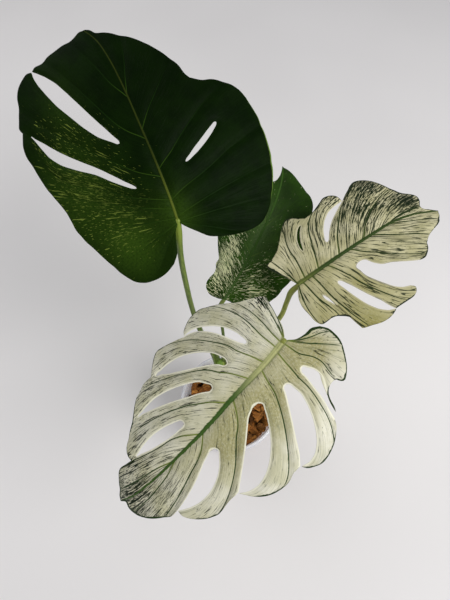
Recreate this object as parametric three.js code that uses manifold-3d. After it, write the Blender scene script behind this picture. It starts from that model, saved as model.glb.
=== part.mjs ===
// Potted variegated monstera: four split leaves on long stalks, in a clear pot of coconut husk chips.
// Millimetres, +Z up. The origin is the centre of the pot's underside, and the pot stands on z = 0.
// Azimuth 0 of the plant's views looks along +Y. The front leaf hangs towards -X and -Y.
import * as THREE from 'three';
import { mergeVertices } from 'three/addons/utils/BufferGeometryUtils.js';
import Module from 'manifold-3d';

const wasm = await Module();
wasm.setup();

// Pot
const POT_HEIGHT = 105;
const POT_BASE_RADIUS = 43;
const POT_MOUTH_RADIUS = 57.2; // outside of the wall just under the rim
const POT_WALL = 1.2;
const POT_FLOOR = 1.6;
const RIM_RADIUS = 60; // outside of the rolled rim, so the pot is 120 mm across
const RIM_DROP = 7; // height of the rolled rim
const POT_SIDES = 48;
const DRAIN_HOLES = 8;
const DRAIN_RADIUS = 3.5;
const DRAIN_RING = 31; // distance of the drain holes from the pot's axis

// Husk chips
const TOUCH_GAP = 0.3; // clearance between pieces that touch
const BED_TOP = 92;
const BED_SIDES = 40;
const TOP_CHIPS = 26;
const CHIP_SIZE = [15, 10, 6];
const CHIP_REACH = 44; // farthest chip centre from the pot's axis

// Stem and roots
const STEM_PATH = [
  [0, 0, 42], [-1, 2, 70], [-3, 6, 95], [-6.5, 13, 122], [-9, 19.5, 145], [-10.5, 23, 159],
];
const STEM_RADII = [5, 8, 8, 7.5, 6.8, 5.2];
const STEM_SIDES = 12;
const STEM_STEPS = 18;
const ROOTS = 6;
const ROOT_RADIUS = 2;
const CROWN_RADIUS = 8; // knob at the foot of the stem that the roots grow from
const CROWN_HEIGHT = 36; // height of the crown's centre
const ROOT_SPREAD = 37; // distance from the axis where a root turns down the wall
const ROOT_END = 9; // height of the roots' tips

// Leaves
const BLADE_THICKNESS = 1;
const RIB_DEPTH = 2; // how far the midrib stands below the blade at the stalk
const STALK_SIDES = 8;
const STALK_STEPS = 16;
// Stations along every ray of a blade, from the midrib (0) to the margin (1)
const STATIONS = [0, 0.13, 0.26, 0.38, 0.5, 0.62, 0.74, 0.85, 0.95, 1];
const BASAL_CELLS = 4; // cells across a lobe whose rays all start at the stalk
const CELL_WIDTH = 11; // widest cell along the midrib

const COLOURS = {
  pot: 0xdfe3e6, husk: 0x8a5a2b, root: 0xb99f6f, stem: 0x5f8a32, stalk: 0x6f8f3a,
  dark: 0x1f3a10, marbled: 0x35561f, right: 0xb9b58a, front: 0xc4c8a0,
};

// Leaf outlines are drawn flat, in millimetres: u runs along the blade from the stalk to the tip, and
// v across it, left of the midrib below zero and right of it above zero, seen from above, tip up.
// A half blade is a fan of rays from the midrib to the margin. A ray's first number is its root on the
// midrib. Its other entries are [u, v] where the blade is whole, [u, v, width] where a slit is open, by
// its centre and its width, or [u, v, u, v] for a wide slit's lower and upper sides.
// Between two rays, the margin runs through the points of the edge of the same index.
const frontLeaf = {
  name: 'front_leaf',
  colour: COLOURS.front,
  joint: [38, -18, 333], heading: -140, rise: -10, roll: 0, droop: 20, fold: [0, 6], curl: [14, 36],
  midrib: [[0, 0], [20, -3], [40, -4.5], [60, -5.5], [80, -7], [100, -7.5], [120, -7], [140, -6],
    [160, -4], [180, -0.5], [190, 3.2], [196, 5]],
  spineStart: 140,
  stalk: [[-5, 11, 118], [3, 7, 138], [8, 4, 165], [13, 2, 200], [20, -1, 240], [29, -6, 280],
    [35, -12, 310]],
  stalkRadii: [5, 4.6, 4.2, 3.8, 3.5, 3.2, 3],
  left: {
    rays: [
      [0, [-7.3, -5.4], [-14, -7], [-21, -7], [-26.5, -10]],
      [0, [-8, -12], [-15, -22], [-21, -31], [-25, -37]],
      [5, [4.5, -12], [5.4, -23.5], [2, -25.3, 6.9, -28.4], [-1.1, -29.8, 7.4, -34.8],
          [-2.2, -35, 8.2, -41.2], [-1.3, -39.8, 8.6, -46.7], [1.3, -44.7, 9.4, -51.5],
          [4.3, -49, 10.4, -55.3], [6.7, -54.1, 11.2, -58.9], [8.5, -61.6, 12.4, -64.1]],
      [17, [20, -14], [21.7, -24.5], [18.9, -28.7, 25.3, -27.7], [17.9, -36.7, 29.3, -34.7],
          [20, -45.8, 33.8, -42.4], [23.4, -53.8, 38.3, -49.8], [27.8, -61.3, 42.4, -56.4],
          [33.2, -67.8, 46, -62.3], [39.6, -72.3, 49, -66.4], [46.4, -73.7, 51.9, -69.5],
          [52.7, -72.1, 53.2, -71.4]],
      [41, [43, -12], [45.4, -20.8], [43.9, -25.1, 50.6, -20.3], [47, -31.8, 57.6, -23.4],
          [52.1, -39.9, 64.3, -29.1], [58.5, -48, 72.4, -35.9], [66.4, -54.7, 79.4, -41.2],
          [75.7, -59.8, 88.2, -47.4], [85.4, -61.7, 95, -52], [93.9, -59.8, 98.6, -54.6],
          [99.9, -56.3, 100.3, -55.7]],
      [76, [84, -16], [91.9, -22.2], [91.3, -26.5, 96.5, -21.2], [97.1, -33.1, 105.3, -23.6],
          [103.1, -37.4, 112.9, -26.6], [110.5, -40.5, 121.3, -29.5], [118, -42.1, 130, -31.6],
          [126.8, -42.1, 137.9, -33], [134.5, -40.6, 143.2, -33.7], [141.7, -38, 147.1, -34.1],
          [148.3, -34.9, 149.2, -34.3]],
      [106, [120, -15], [140, -19], [160, -20], [178, -20.5]],
    ],
    edges: [
      [[-30, -16], [-30.3, -22.5], [-29.2, -29.5]],
      [[-20, -44], [-15.1, -48.3], [-11.6, -50], [-8, -46.6], [-4, -46], [0, -48.5], [3, -53], [5.4, -59]],
      [[15, -68.3], [19, -72], [25, -76], [32, -78.5], [40, -79.5], [46, -77.5], [50, -75.3]],
      [[60, -71.5], [66, -73.5], [72, -73.8], [79, -72.5], [86, -69.5], [92, -65], [97, -59.5]],
      [[108, -55.3], [116, -56], [124, -56.8], [131, -54.5], [138, -50.5], [144, -45], [147.5, -39.5]],
      [[153.5, -34.2], [158.5, -33.6], [164, -31], [171, -26]],
      [[183, -16.5], [187.5, -12.5], [190, -9], [190.3, -4], [190, 0.5], [193, 3]],
    ],
  },
  right: {
    rays: [
      [0, [-5, 6], [-8, 13], [-9.5, 20], [-10, 26]],
      [0, [-2, 12], [-4, 24], [-6, 36], [-7, 46]],
      [15, [18, 8], [21.4, 18.6], [20.9, 24.2, 23.9, 19.9], [21.6, 30.5, 26.3, 24],
          [23.8, 37.8, 28.7, 30.1], [27.2, 44.8, 31.8, 37.9], [32.1, 51.8, 35.6, 45.9],
          [38.1, 58, 40.7, 53.9], [44.2, 63.3, 45.5, 59.4], [51, 66.8, 51.5, 63.8],
          [57.3, 67.4, 57.4, 66.7]],
      [30, [37, 9], [43.5, 17], [45.5, 22, 6], [50, 29, 9.5], [57, 36, 12], [66, 43, 13.5], [76, 49.5, 13],
        [86, 54.5, 9.5], [94, 58, 4], [100, 60], [107.3, 60.5]],
      [50, [58, 5], [64, 11], [67, 14, 6], [72, 19, 9], [80, 24, 10.5], [90, 29.5, 10.5], [100, 34.2, 10],
        [110, 38, 8.5], [120, 40.5, 5.5], [128, 42, 2], [133, 42.5], [140.3, 42.7]],
      [78, [90, 2], [98.5, 7], [102, 9, 6], [108, 10.5, 8], [116, 12.5, 9.5], [125, 14.5, 9.5], [134, 16, 8],
        [142, 17.3, 5], [148, 18, 2], [152, 18.4], [158.3, 18.6]],
      [112, [130, 2], [150, 8], [168, 13], [184, 17.5]],
    ],
    edges: [
      [[-12, 31], [-14.5, 37], [-12.5, 42]],
      [[-1, 51], [5, 57], [12, 64], [18, 70], [25, 75.5], [32, 78.7], [40, 79.3], [46, 77.5], [52, 73.6],
          [55.5, 70.5]],
      [[62, 68], [67, 70.2], [72, 73], [79, 76.5], [85, 79], [90, 78], [95, 73.5], [100, 67.5], [104, 62.5]],
      [[111, 62.8], [115, 64.2], [120, 63], [126, 59], [130, 53.5], [135, 47]],
      [[146, 41], [151, 38.5], [155, 34], [158, 28], [159, 22.5]],
      [[164, 20.3], [170, 22.3], [175, 23.5], [179.5, 22.5]],
      [[188, 13.3], [192, 9.3]],
    ],
  },
};

const rightLeaf = {
  name: 'right_leaf',
  colour: COLOURS.right,
  joint: [54, 35, 324], heading: 33, rise: 14, roll: 0, droop: 18, fold: [0, 0], curl: [20, 20],
  midrib: [[0, -0.5], [40, -1], [80, -2], [105, -2.5], [125, 0], [140, 3.5], [154, 7]],
  spineStart: 110,
  stalk: [[-8, 17, 135], [2, 22, 155], [9, 22, 185], [17, 21, 215], [30, 21, 258], [38.5, 22, 277],
      [43.6, 24.6, 290], [46.9, 30.4, 304], [49.3, 33.6, 314]],
  stalkRadii: [4.4, 3.9, 3.3, 2.9, 2.6, 2.4, 2.2, 2.2, 2.3],
  left: {
    rays: [
      [0, [-3, -8], [-5.5, -14], [-8.5, -20], [-10.5, -26]],
      [0, [3, -12], [5, -24], [5, -36]],
      [14, [18, -12], [21.5, -22.5], [23, -28, 2.5], [26, -34.5, 3], [31, -41, 2.5], [36, -45], [43.2, -48]],
      [31, [36, -8], [42.5, -17], [45, -20.5, 4], [50, -27, 5.5], [57, -33.5, 6.5], [65, -38.5, 6.5],
        [73, -41.8, 4], [79, -43.8, 2], [83, -45.2, 0.6]],
      [58, [72, -17], [88, -29], [103, -37], [116, -42], [127.5, -45]],
      [84, [98, -10], [112, -15], [127, -18.5], [140.5, -21]],
    ],
    edges: [
      [[-10.5, -30], [-5, -31.7], [0, -33.2]],
      [[12, -43], [19, -51], [25, -56.5], [30, -58.7], [35, -56.5], [39, -51.5]],
      [[50, -49], [58, -51.5], [65, -54.5], [71, -57], [77, -56], [81, -52.5]],
      [[88, -46.5], [95, -51], [101, -55.5], [108, -58.3], [115, -58], [121, -55.5], [125.5, -51]],
      [[128, -38.5], [130.5, -34], [135, -27]],
      [[143.5, -17.5], [144.8, -13.5], [142.5, -8.5], [138.5, -3.5], [139, -0.3], [146, 3]],
    ],
  },
  right: {
    rays: [
      [0, [-4, 5], [-7.5, 11], [-9, 18], [-8.5, 26]],
      [0, [0, 12], [1, 25], [3, 38]],
      [8, [9, 10], [10, 19], [11.2, 23.5, 2.8], [13, 28, 2.2], [14.3, 31.5], [15.3, 38], [16.2, 45.5]],
      [20, [24, 9], [26.8, 16.5], [28.3, 20.5, 4.5], [31, 28, 6.5], [33.8, 36, 7.5], [37, 43.5, 8.3],
        [41.5, 51, 8], [46, 57, 4.5], [50.2, 60.6, 0.6]],
      [41, [46, 7], [50, 13], [47, 18, 58, 15], [48, 25, 61, 20], [51, 31, 66, 25], [54.5, 37.5, 73, 27.5],
        [59, 44, 80, 31], [66, 49.5, 88, 35], [73, 52, 96, 38.5]],
      [66, [80, 9], [92, 17], [103, 23.5], [113, 29]],
      [90, [104, 6], [117, 11], [128, 15.5], [137, 19.3]],
    ],
    edges: [
      [[-8, 33], [-5.5, 37.7], [-1, 38.2]],
      [[8, 39], [12.5, 42]],
      [[17, 50], [19, 54], [18, 57.5], [26, 60.5], [34, 63], [41, 63.3], [46, 62.3]],
      [[55, 60.2], [62, 60.3], [69, 60], [73.5, 57.8], [75.3, 54.8]],
      [[101, 38.8], [106, 36.7], [110, 33.3]],
      [[118, 26], [124, 23.2], [130, 21.2]],
      [[143, 16.5], [149, 12.5]],
    ],
  },
};

const darkLeaf = {
  name: 'dark_leaf',
  colour: COLOURS.dark,
  joint: [-43, 72, 359], heading: 121, rise: 40, roll: -14, droop: 15, fold: [3, 3], curl: [16, 20],
  midrib: [[0, 0], [20, 2], [50, 3.5], [80, 4], [110, 4.3], [135, 3], [152, 0], [165, -6]],
  spineStart: 120,
  stalk: [[-10, 20, 143], [-13.6, 26, 160], [-18, 31.2, 178], [-25, 36.3, 198], [-31.5, 40.7, 221],
      [-37.4, 47, 254], [-41.7, 56, 295], [-43.4, 62, 322], [-43.5, 66, 343]],
  stalkRadii: [4.2, 3.2, 3, 2.8, 2.6, 2.5, 2.5, 2.5, 2.8],
  left: {
    rays: [
      [0, [-6, -5], [-14, -8], [-22, -11], [-29, -17]],
      [0, [-7, -12], [-14, -27], [-20, -42], [-25, -57]],
      [0, [0, -17], [0, -35], [0, -52], [0, -68]],
      [6, [14, -17], [24, -36], [33, -56], [42, -78]],
      [24, [31, -11], [36, -18.5], [41, -24, 3.5], [50, -32.5, 5], [60, -41.5, 5.5], [70, -52.5, 7.5],
        [80, -62.5, 9], [89, -69, 8], [98, -73.5, 5], [106, -77.5, 1.5], [110, -79.5], [115.3, -84.3]],
      [52, [63, -9], [71.5, -16], [75, -18.5, 4], [85, -25.5, 9], [97, -32, 11], [109, -37.5, 12],
        [122, -43.3, 13], [134, -48, 12], [144, -52.5, 9], [151, -55.5, 5], [155.5, -57, 0.8]],
      [84, [103, -10], [123, -18], [142, -26], [160.5, -33]],
    ],
    edges: [
      [[-33, -25], [-35, -34], [-34.5, -44], [-30.5, -52.5]],
      [[-18, -61], [-9, -64.5]],
      [[8, -71], [17, -75], [26, -77.3], [34, -77.5]],
      [[50, -80], [59, -83.3], [70, -86], [82, -88], [95, -89.2], [104, -88], [110, -86]],
      [[118, -85.5], [120.5, -86], [126, -83.5], [133, -80], [141, -76.5], [148, -72], [152.5, -66.5],
        [155.5, -61]],
      [[157, -54], [157.5, -48], [159.5, -41]],
      [[161.8, -24], [162.5, -15], [165, -9.5]],
    ],
  },
  right: {
    rays: [
      [0, [-6, 4.5], [-13, 11], [-20, 18], [-24, 26]],
      [0, [-5, 17], [-11, 36], [-17, 55], [-23, 72]],
      [0, [1, 20], [2, 42], [2, 65], [1, 87.5]],
      [8, [13, 18], [18, 42], [22, 68], [26, 94.3]],
      [30, [35, 13], [39.5, 24.5], [41.5, 29, 3], [45, 36, 4.5], [49.5, 44.5, 4.8], [54, 52, 4.6],
        [57.5, 57.5, 3.5], [59.5, 60.5], [65, 76], [70, 93]],
      [58, [68, 15], [78, 28], [88, 41], [98, 54]],
      [88, [101, 12], [113, 21], [124, 28.5], [134, 35.5]],
    ],
    edges: [
      [[-27, 35], [-29.3, 45], [-30, 55], [-28.5, 64]],
      [[-16, 78], [-8, 83]],
      [[9, 90.7], [17, 93]],
      [[38, 95.5], [50, 96], [61, 95]],
      [[76, 90], [82, 85], [88, 78.5], [92.5, 71], [94, 63]],
      [[102, 51.5], [110, 49.8], [118, 46.5], [126, 41.5]],
      [[143, 26.5], [150, 17], [155, 8.5], [158, 1.5], [162, -1.5]],
    ],
  },
};

const marbledLeaf = {
  name: 'marbled_leaf',
  colour: COLOURS.marbled,
  joint: [-7, 51, 268], heading: 65, rise: 30, roll: 0, droop: 20, fold: [8, 0], curl: [40, 20],
  midrib: [[0, 0], [10, 2], [30, 5], [55, 7.5], [80, 8.5], [105, 8], [125, 5.5], [138, 2.5], [150, -2]],
  spineStart: 100,
  stalk: [[-8.5, 21.5, 150], [-6.8, 23.8, 162], [-8.4, 29, 180], [-7.8, 37.6, 212], [-10, 46, 235],
      [-11, 52, 252]],
  stalkRadii: [2.4, 2, 1.8, 1.6, 1.7, 1.9],
  left: {
    rays: [
      [0, [-0.5, -3], [-1, -6], [-1, -9]],
      [0, [4, -7], [7, -15], [10, -22.5]],
      [12, [20, -5], [29, -14], [39, -23]],
      [34, [48, -8], [62, -25], [76, -42]],
      [66, [80, -6], [93, -21], [106, -36]],
    ],
    edges: [
      [[-1, -13], [1, -18], [5, -21.3]],
      [[15, -21.3], [20, -19.7], [25, -20.5], [30, -22], [34, -20.7]],
      [[48, -28], [57, -32.5], [66, -38]],
      [[86, -43.3], [96, -42]],
      [[115, -28], [122, -18], [126.5, -9], [128.5, -4], [131, -1.5], [138, 0], [145, -0.7]],
    ],
  },
  right: {
    rays: [
      [0, [0.5, 4], [0, 8], [-1, 13]],
      [0, [3, 11], [5, 22], [5, 34]],
      [12, [17, 16], [23, 31], [30, 47]],
      [32, [45, 20], [58, 38], [70, 56]],
      [62, [77, 20], [92, 33], [106, 44.5]],
    ],
    edges: [
      [[-1, 19], [1, 26]],
      [[10, 38.5], [15, 41], [22, 45]],
      [[37, 50], [44, 52], [53, 54], [62, 55.5]],
      [[80, 55], [90, 51], [98, 47]],
      [[113, 43.8], [119, 41.8], [125, 37.5], [131, 31], [137, 22.5], [143.5, 11.5]],
    ],
  },
};

const LEAVES = [darkLeaf, marbledLeaf, rightLeaf, frontLeaf];

// Small helpers

const vector = (p) => new THREE.Vector3(p[0], p[1], p[2] ?? 0);
const mix = (a, b, t) => a + (b - a) * t;
const radians = THREE.MathUtils.degToRad;

function signedVolume(geometry) {
  const p = geometry.attributes.position;
  const index = geometry.index.array;
  const [a, b, c] = [new THREE.Vector3(), new THREE.Vector3(), new THREE.Vector3()];
  let sum = 0;
  for (let i = 0; i < index.length; i += 3) {
    a.fromBufferAttribute(p, index[i]);
    b.fromBufferAttribute(p, index[i + 1]);
    c.fromBufferAttribute(p, index[i + 2]);
    sum += a.dot(b.cross(c)) / 6;
  }
  return sum;
}

// One closed mesh with merged vertices and its faces pointing out
function closed(geometry) {
  geometry.deleteAttribute('normal');
  geometry.deleteAttribute('uv');
  const merged = mergeVertices(geometry, 1e-4);
  const kept = [];
  const index = merged.index.array;
  for (let i = 0; i < index.length; i += 3) {
    const [a, b, c] = [index[i], index[i + 1], index[i + 2]];
    if (a !== b && b !== c && c !== a) kept.push(a, b, c);
  }
  merged.setIndex(kept);
  if (signedVolume(merged) < 0) {
    for (let i = 0; i < kept.length; i += 3) [kept[i], kept[i + 1]] = [kept[i + 1], kept[i]];
    merged.setIndex(kept);
  }
  return merged;
}

function toSolid(geometry) {
  const mesh = closed(geometry);
  return new wasm.Manifold(new wasm.Mesh({
    numProp: 3,
    vertProperties: new Float32Array(mesh.attributes.position.array),
    triVerts: new Uint32Array(mesh.index.array),
  }));
}

function toGeometry(solid) {
  const mesh = solid.getMesh();
  const geometry = new THREE.BufferGeometry();
  geometry.setAttribute('position', new THREE.BufferAttribute(new Float32Array(mesh.vertProperties), 3));
  geometry.setIndex(new THREE.BufferAttribute(new Uint32Array(mesh.triVerts), 1));
  geometry.computeVertexNormals();
  return geometry;
}

// Lathed solid about Z from [radius, z] points that start and end on the axis or close on themselves
function lathe(points, sides) {
  const geometry = new THREE.LatheGeometry(points.map(([r, z]) => new THREE.Vector2(r, z)), sides);
  return geometry.rotateX(Math.PI / 2);
}

// Value of a smooth curve of numbers at a share t of its length in points
function sampleNumbers(numbers, t) {
  const x = t * (numbers.length - 1);
  const i = Math.min(Math.floor(x), numbers.length - 2);
  return mix(numbers[i], numbers[i + 1], x - i);
}

// Round tube of changing radius along a curve. side fixes how the rings are turned, and an end normal
// tilts the last ring so that it lies flat against what the tube carries. To cut room for a tube in
// another piece, grow makes it larger by the clearance all round and at both ends.
function taperedTube(points, radii, options) {
  const { sides, steps, side = new THREE.Vector3(1, 0, 0), endNormal = null, grow = 0 } = options;
  const curve = new THREE.CatmullRomCurve3(points.map(vector), false, 'centripetal');
  const positions = [];
  const index = [];
  for (let j = 0; j <= steps; j += 1) {
    const t = j / steps;
    const along = j === steps && endNormal ? endNormal : curve.getTangent(t);
    const stretch = grow * (Math.floor(t) - Math.floor(1 - t));
    const centre = curve.getPoint(t).addScaledVector(along, stretch);
    const across = side.clone().addScaledVector(along, -side.dot(along)).normalize();
    const up = along.clone().cross(across);
    const radius = sampleNumbers(radii, t) + grow;
    for (let i = 0; i < sides; i += 1) {
      const angle = (2 * Math.PI * i) / sides;
      const p = centre.clone().addScaledVector(across, radius * Math.cos(angle));
      p.addScaledVector(up, radius * Math.sin(angle));
      positions.push(p.x, p.y, p.z);
    }
  }
  for (let j = 0; j < steps; j += 1) {
    for (let i = 0; i < sides; i += 1) {
      const a = j * sides + i;
      const b = j * sides + ((i + 1) % sides);
      index.push(a, b, b + sides, a, b + sides, a + sides);
    }
  }
  for (let i = 1; i < sides - 1; i += 1) {
    index.push(0, i + 1, i);
    index.push(steps * sides, steps * sides + i, steps * sides + i + 1);
  }
  const geometry = new THREE.BufferGeometry();
  geometry.setAttribute('position', new THREE.Float32BufferAttribute(positions, 3));
  geometry.setIndex(index);
  return geometry;
}

// Repeatable random numbers between 0 and 1
function randomSource(seed) {
  let state = seed;
  return () => {
    state = (state * 1103515245 + 12345) % 2147483648;
    return state / 2147483648;
  };
}

// Leaf surface: where the flat point (u, v) of a leaf lies in space

function leafFrame(leaf) {
  const heading = radians(leaf.heading);
  const rise = radians(leaf.rise);
  const level = Math.cos(rise);
  const along = vector([level * Math.cos(heading), level * Math.sin(heading), Math.sin(rise)]);
  const up = vector([0, 0, 1]).addScaledVector(along, -along.z).normalize();
  up.applyAxisAngle(along, radians(leaf.roll));
  const across = along.clone().cross(up);
  return { along, up, across };
}

// The midrib droops along a circle in front of the stalk and runs straight behind it. Each half bends
// down from it along a circle, starting at the fold angle.
function leafPoint(leaf, frame, u, v, lift) {
  const bend = u > 0 ? radians(leaf.droop) / 100 : 0;
  const angle = bend * u;
  const ahead = bend ? Math.sin(angle) / bend : u;
  const drop = bend ? (1 - Math.cos(angle)) / bend : 0;
  const half = v > 0 ? 1 : 0;
  const fold = radians(leaf.fold[half]);
  const curl = Math.max(radians(leaf.curl[half]) / 100, 1e-7);
  const lean = fold + curl * Math.abs(v);
  const out = (Math.sin(lean) - Math.sin(fold)) / curl;
  const down = (Math.cos(fold) - Math.cos(lean)) / curl;
  const normal = frame.along.clone().multiplyScalar(Math.sin(angle));
  normal.addScaledVector(frame.up, Math.cos(angle));
  const surfaceNormal = normal.clone().multiplyScalar(Math.cos(lean));
  surfaceNormal.addScaledVector(frame.across, Math.sign(v) * Math.sin(lean));
  return vector(leaf.joint)
    .addScaledVector(frame.along, ahead)
    .addScaledVector(frame.up, -drop)
    .addScaledVector(frame.across, Math.sign(v) * out)
    .addScaledVector(normal, -down)
    .addScaledVector(surfaceNormal, lift);
}

// Leaf outline: rays, edges and the patches between them

const flatCurve = (points) => new THREE.CatmullRomCurve3(points.map(vector), false, 'centripetal');

function midribPoint(leaf, u) {
  const points = leaf.midrib;
  const i = Math.min(points.findLastIndex(([a]) => a <= u), points.length - 2);
  return [u, mix(points[i][1], points[i + 1][1], (u - points[i][0]) / (points[i + 1][0] - points[i][0]))];
}

// Both sides of a ray at the stations, as { lower: [[u, v], ...], upper: [[u, v], ...] }
function raySides(leaf, ray) {
  const entries = [midribPoint(leaf, ray[0]), ...ray.slice(1)];
  const centreOf = (e) => (e.length === 4 ? [(e[0] + e[2]) / 2, (e[1] + e[3]) / 2] : e.slice(0, 2));
  const centres = entries.map(centreOf);
  const halves = entries.map((e, i) => {
    if (e.length === 2) return [0, 0];
    if (e.length === 4) return [(e[2] - e[0]) / 2, (e[3] - e[1]) / 2];
    const before = centres[i - 1];
    const after = centres[Math.min(i + 1, centres.length - 1)];
    const run = [after[0] - before[0], after[1] - before[1]];
    const length = Math.hypot(run[0], run[1]);
    const turn = run[1] > 0 ? 1 : -1;
    return [(turn * run[1] * e[2]) / 2 / length, (-turn * run[0] * e[2]) / 2 / length];
  });
  const centreCurve = flatCurve(centres);
  const sides = { lower: [], upper: [] };
  for (const station of STATIONS) {
    const t = centreCurve.getUtoTmapping(station);
    const centre = centreCurve.getPoint(t);
    const x = sampleNumbers(halves.map((h) => h[0]), t);
    const y = sampleNumbers(halves.map((h) => h[1]), t);
    sides.lower.push([centre.x - x, centre.y - y]);
    sides.upper.push([centre.x + x, centre.y + y]);
  }
  return sides;
}

// Points of the midrib that both halves share: every ray's root, and more where two roots are far apart
function midribStops(leaf) {
  const roots = [...leaf.left.rays, ...leaf.right.rays].map((ray) => ray[0]);
  const stops = [...new Set([...roots, leaf.spineStart])].sort((a, b) => a - b);
  return stops.flatMap((stop, i) => {
    const cells = i ? Math.ceil((stop - stops[i - 1]) / CELL_WIDTH) : 1;
    return Array.from({ length: cells }, (_, k) => mix(stops[i - 1] ?? 0, stop, (k + 1) / cells));
  });
}

// Shares along a lobe's root at which its cells start and end
function rootShares(from, to, stops) {
  if (to - from < 1) return Array.from({ length: BASAL_CELLS + 1 }, (_, i) => i / BASAL_CELLS);
  return stops.filter((u) => u >= from && u <= to).map((u) => (u - from) / (to - from));
}

// Grid of flat points between two sides, a piece of midrib and a piece of margin (a Coons patch)
function lobeGrid(leaf, lower, upper, from, to, edge, shares) {
  const last = STATIONS.length - 1;
  const margin = flatCurve([lower[last], ...edge, upper[last]]);
  return shares.map((w) => {
    const root = to - from < 1 ? midribPoint(leaf, from) : midribPoint(leaf, mix(from, to, w));
    const end = w === 0 ? vector(lower[last]) : w === 1 ? vector(upper[last]) : margin.getPointAt(w);
    return STATIONS.map((s, j) => {
      if (w === 0) return lower[j];
      if (w === 1) return upper[j];
      if (j === 0) return root;
      const blend = (k, rootValue, endValue) => {
        const sides = mix(lower[j][k], upper[j][k], w);
        const ends = mix(rootValue, endValue, s);
        const corners = mix(mix(lower[0][k], upper[0][k], w), mix(lower[last][k], upper[last][k], w), s);
        return sides + ends - corners;
      };
      return [blend(0, root[0], end.x), blend(1, root[1], end.y)];
    });
  });
}

function spine(leaf) {
  const tip = leaf.midrib.filter(([u]) => u > leaf.spineStart);
  const curve = flatCurve([midribPoint(leaf, leaf.spineStart), ...tip]);
  return STATIONS.map((s) => {
    const p = curve.getPointAt(s);
    return [p.x, p.y];
  });
}

function halfGrids(leaf, half, stops) {
  const rays = half.rays.map((ray) => ({ root: ray[0], ...raySides(leaf, ray) }));
  const tipLine = spine(leaf);
  rays.push({ root: leaf.spineStart, lower: tipLine, upper: tipLine });
  return half.edges.map((edge, k) => {
    const [from, to] = [rays[k].root, rays[k + 1].root];
    return lobeGrid(leaf, rays[k].upper, rays[k + 1].lower, from, to, edge, rootShares(from, to, stops));
  });
}

// Closed thin solid of a leaf blade, with the midrib as a ridge on its underside
function bladeGeometry(leaf) {
  const frame = leafFrame(leaf);
  const stops = midribStops(leaf);
  const flat = [];
  const ids = new Map();
  const idOf = ([u, v]) => {
    const key = `${u.toFixed(2)},${v.toFixed(2)}`;
    if (!ids.has(key)) {
      ids.set(key, flat.length);
      flat.push([u, v]);
    }
    return ids.get(key);
  };
  const faces = [];
  const addFace = (a, b, c, flip) => {
    if (a === b || b === c || c === a) return;
    faces.push(flip ? [a, c, b] : [a, b, c]);
  };
  [[leaf.left, true], [leaf.right, false]].forEach(([half, flip]) => {
    for (const grid of halfGrids(leaf, half, stops)) {
      for (let i = 0; i < grid.length - 1; i += 1) {
        for (let j = 0; j < STATIONS.length - 1; j += 1) {
          const quad = [grid[i][j], grid[i + 1][j], grid[i + 1][j + 1], grid[i][j + 1]].map(idOf);
          addFace(quad[0], quad[2], quad[1], flip);
          addFace(quad[0], quad[3], quad[2], flip);
        }
      }
    }
  });
  const length = leaf.midrib.at(-1)[0];
  const ribAt = ([u, v]) => {
    const onRib = u >= -0.01 && u < length && Math.abs(v - midribPoint(leaf, Math.max(u, 0))[1]) < 0.05;
    return onRib ? RIB_DEPTH * (1 - (0.85 * u) / length) : 0;
  };
  const count = flat.length;
  const tops = flat.map(([u, v]) => leafPoint(leaf, frame, u, v, BLADE_THICKNESS / 2));
  const bottoms = flat.map((p) => leafPoint(leaf, frame, p[0], p[1], -BLADE_THICKNESS / 2 - ribAt(p)));
  const borders = new Map();
  for (const [a, b, c] of faces) {
    for (const [p, q] of [[a, b], [b, c], [c, a]]) {
      if (!borders.delete(`${q},${p}`)) borders.set(`${p},${q}`, [p, q]);
    }
  }
  const index = faces.flatMap(([a, b, c]) => [a, b, c, a + count, c + count, b + count]);
  for (const [p, q] of borders.values()) index.push(q, p, p + count, q, p + count, q + count);
  const geometry = new THREE.BufferGeometry();
  const positions = [...tops, ...bottoms].flatMap((p) => [p.x, p.y, p.z]);
  geometry.setAttribute('position', new THREE.Float32BufferAttribute(positions, 3));
  geometry.setIndex(index);
  return geometry;
}

// Pieces

const innerRadius = (z) => mix(POT_BASE_RADIUS, POT_MOUTH_RADIUS, z / POT_HEIGHT) - POT_WALL;

function potSolid() {
  const underRim = POT_HEIGHT - RIM_DROP;
  const profile = [
    [0, 0], [POT_BASE_RADIUS, 0],
    [mix(POT_BASE_RADIUS, POT_MOUTH_RADIUS, underRim / POT_HEIGHT), underRim],
    [RIM_RADIUS - 0.6, underRim], [RIM_RADIUS, underRim + 1.2], [RIM_RADIUS, POT_HEIGHT - 1.5],
    [RIM_RADIUS - 1, POT_HEIGHT - 0.2], [RIM_RADIUS - 2, POT_HEIGHT],
    [innerRadius(POT_HEIGHT), POT_HEIGHT - 0.6], [innerRadius(POT_FLOOR), POT_FLOOR], [0, POT_FLOOR],
  ];
  let pot = toSolid(lathe(profile, POT_SIDES));
  for (let i = 0; i < DRAIN_HOLES; i += 1) {
    const angle = (2 * Math.PI * i) / DRAIN_HOLES;
    const cutter = new THREE.CylinderGeometry(DRAIN_RADIUS, DRAIN_RADIUS, 4 * POT_FLOOR, 12);
    cutter.rotateX(Math.PI / 2);
    cutter.translate(DRAIN_RING * Math.cos(angle), DRAIN_RING * Math.sin(angle), POT_FLOOR / 2);
    pot = pot.subtract(toSolid(cutter));
  }
  return pot;
}

function stemSolid(grow = 0) {
  return toSolid(taperedTube(STEM_PATH, STEM_RADII, { sides: STEM_SIDES, steps: STEM_STEPS, grow }));
}

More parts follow.
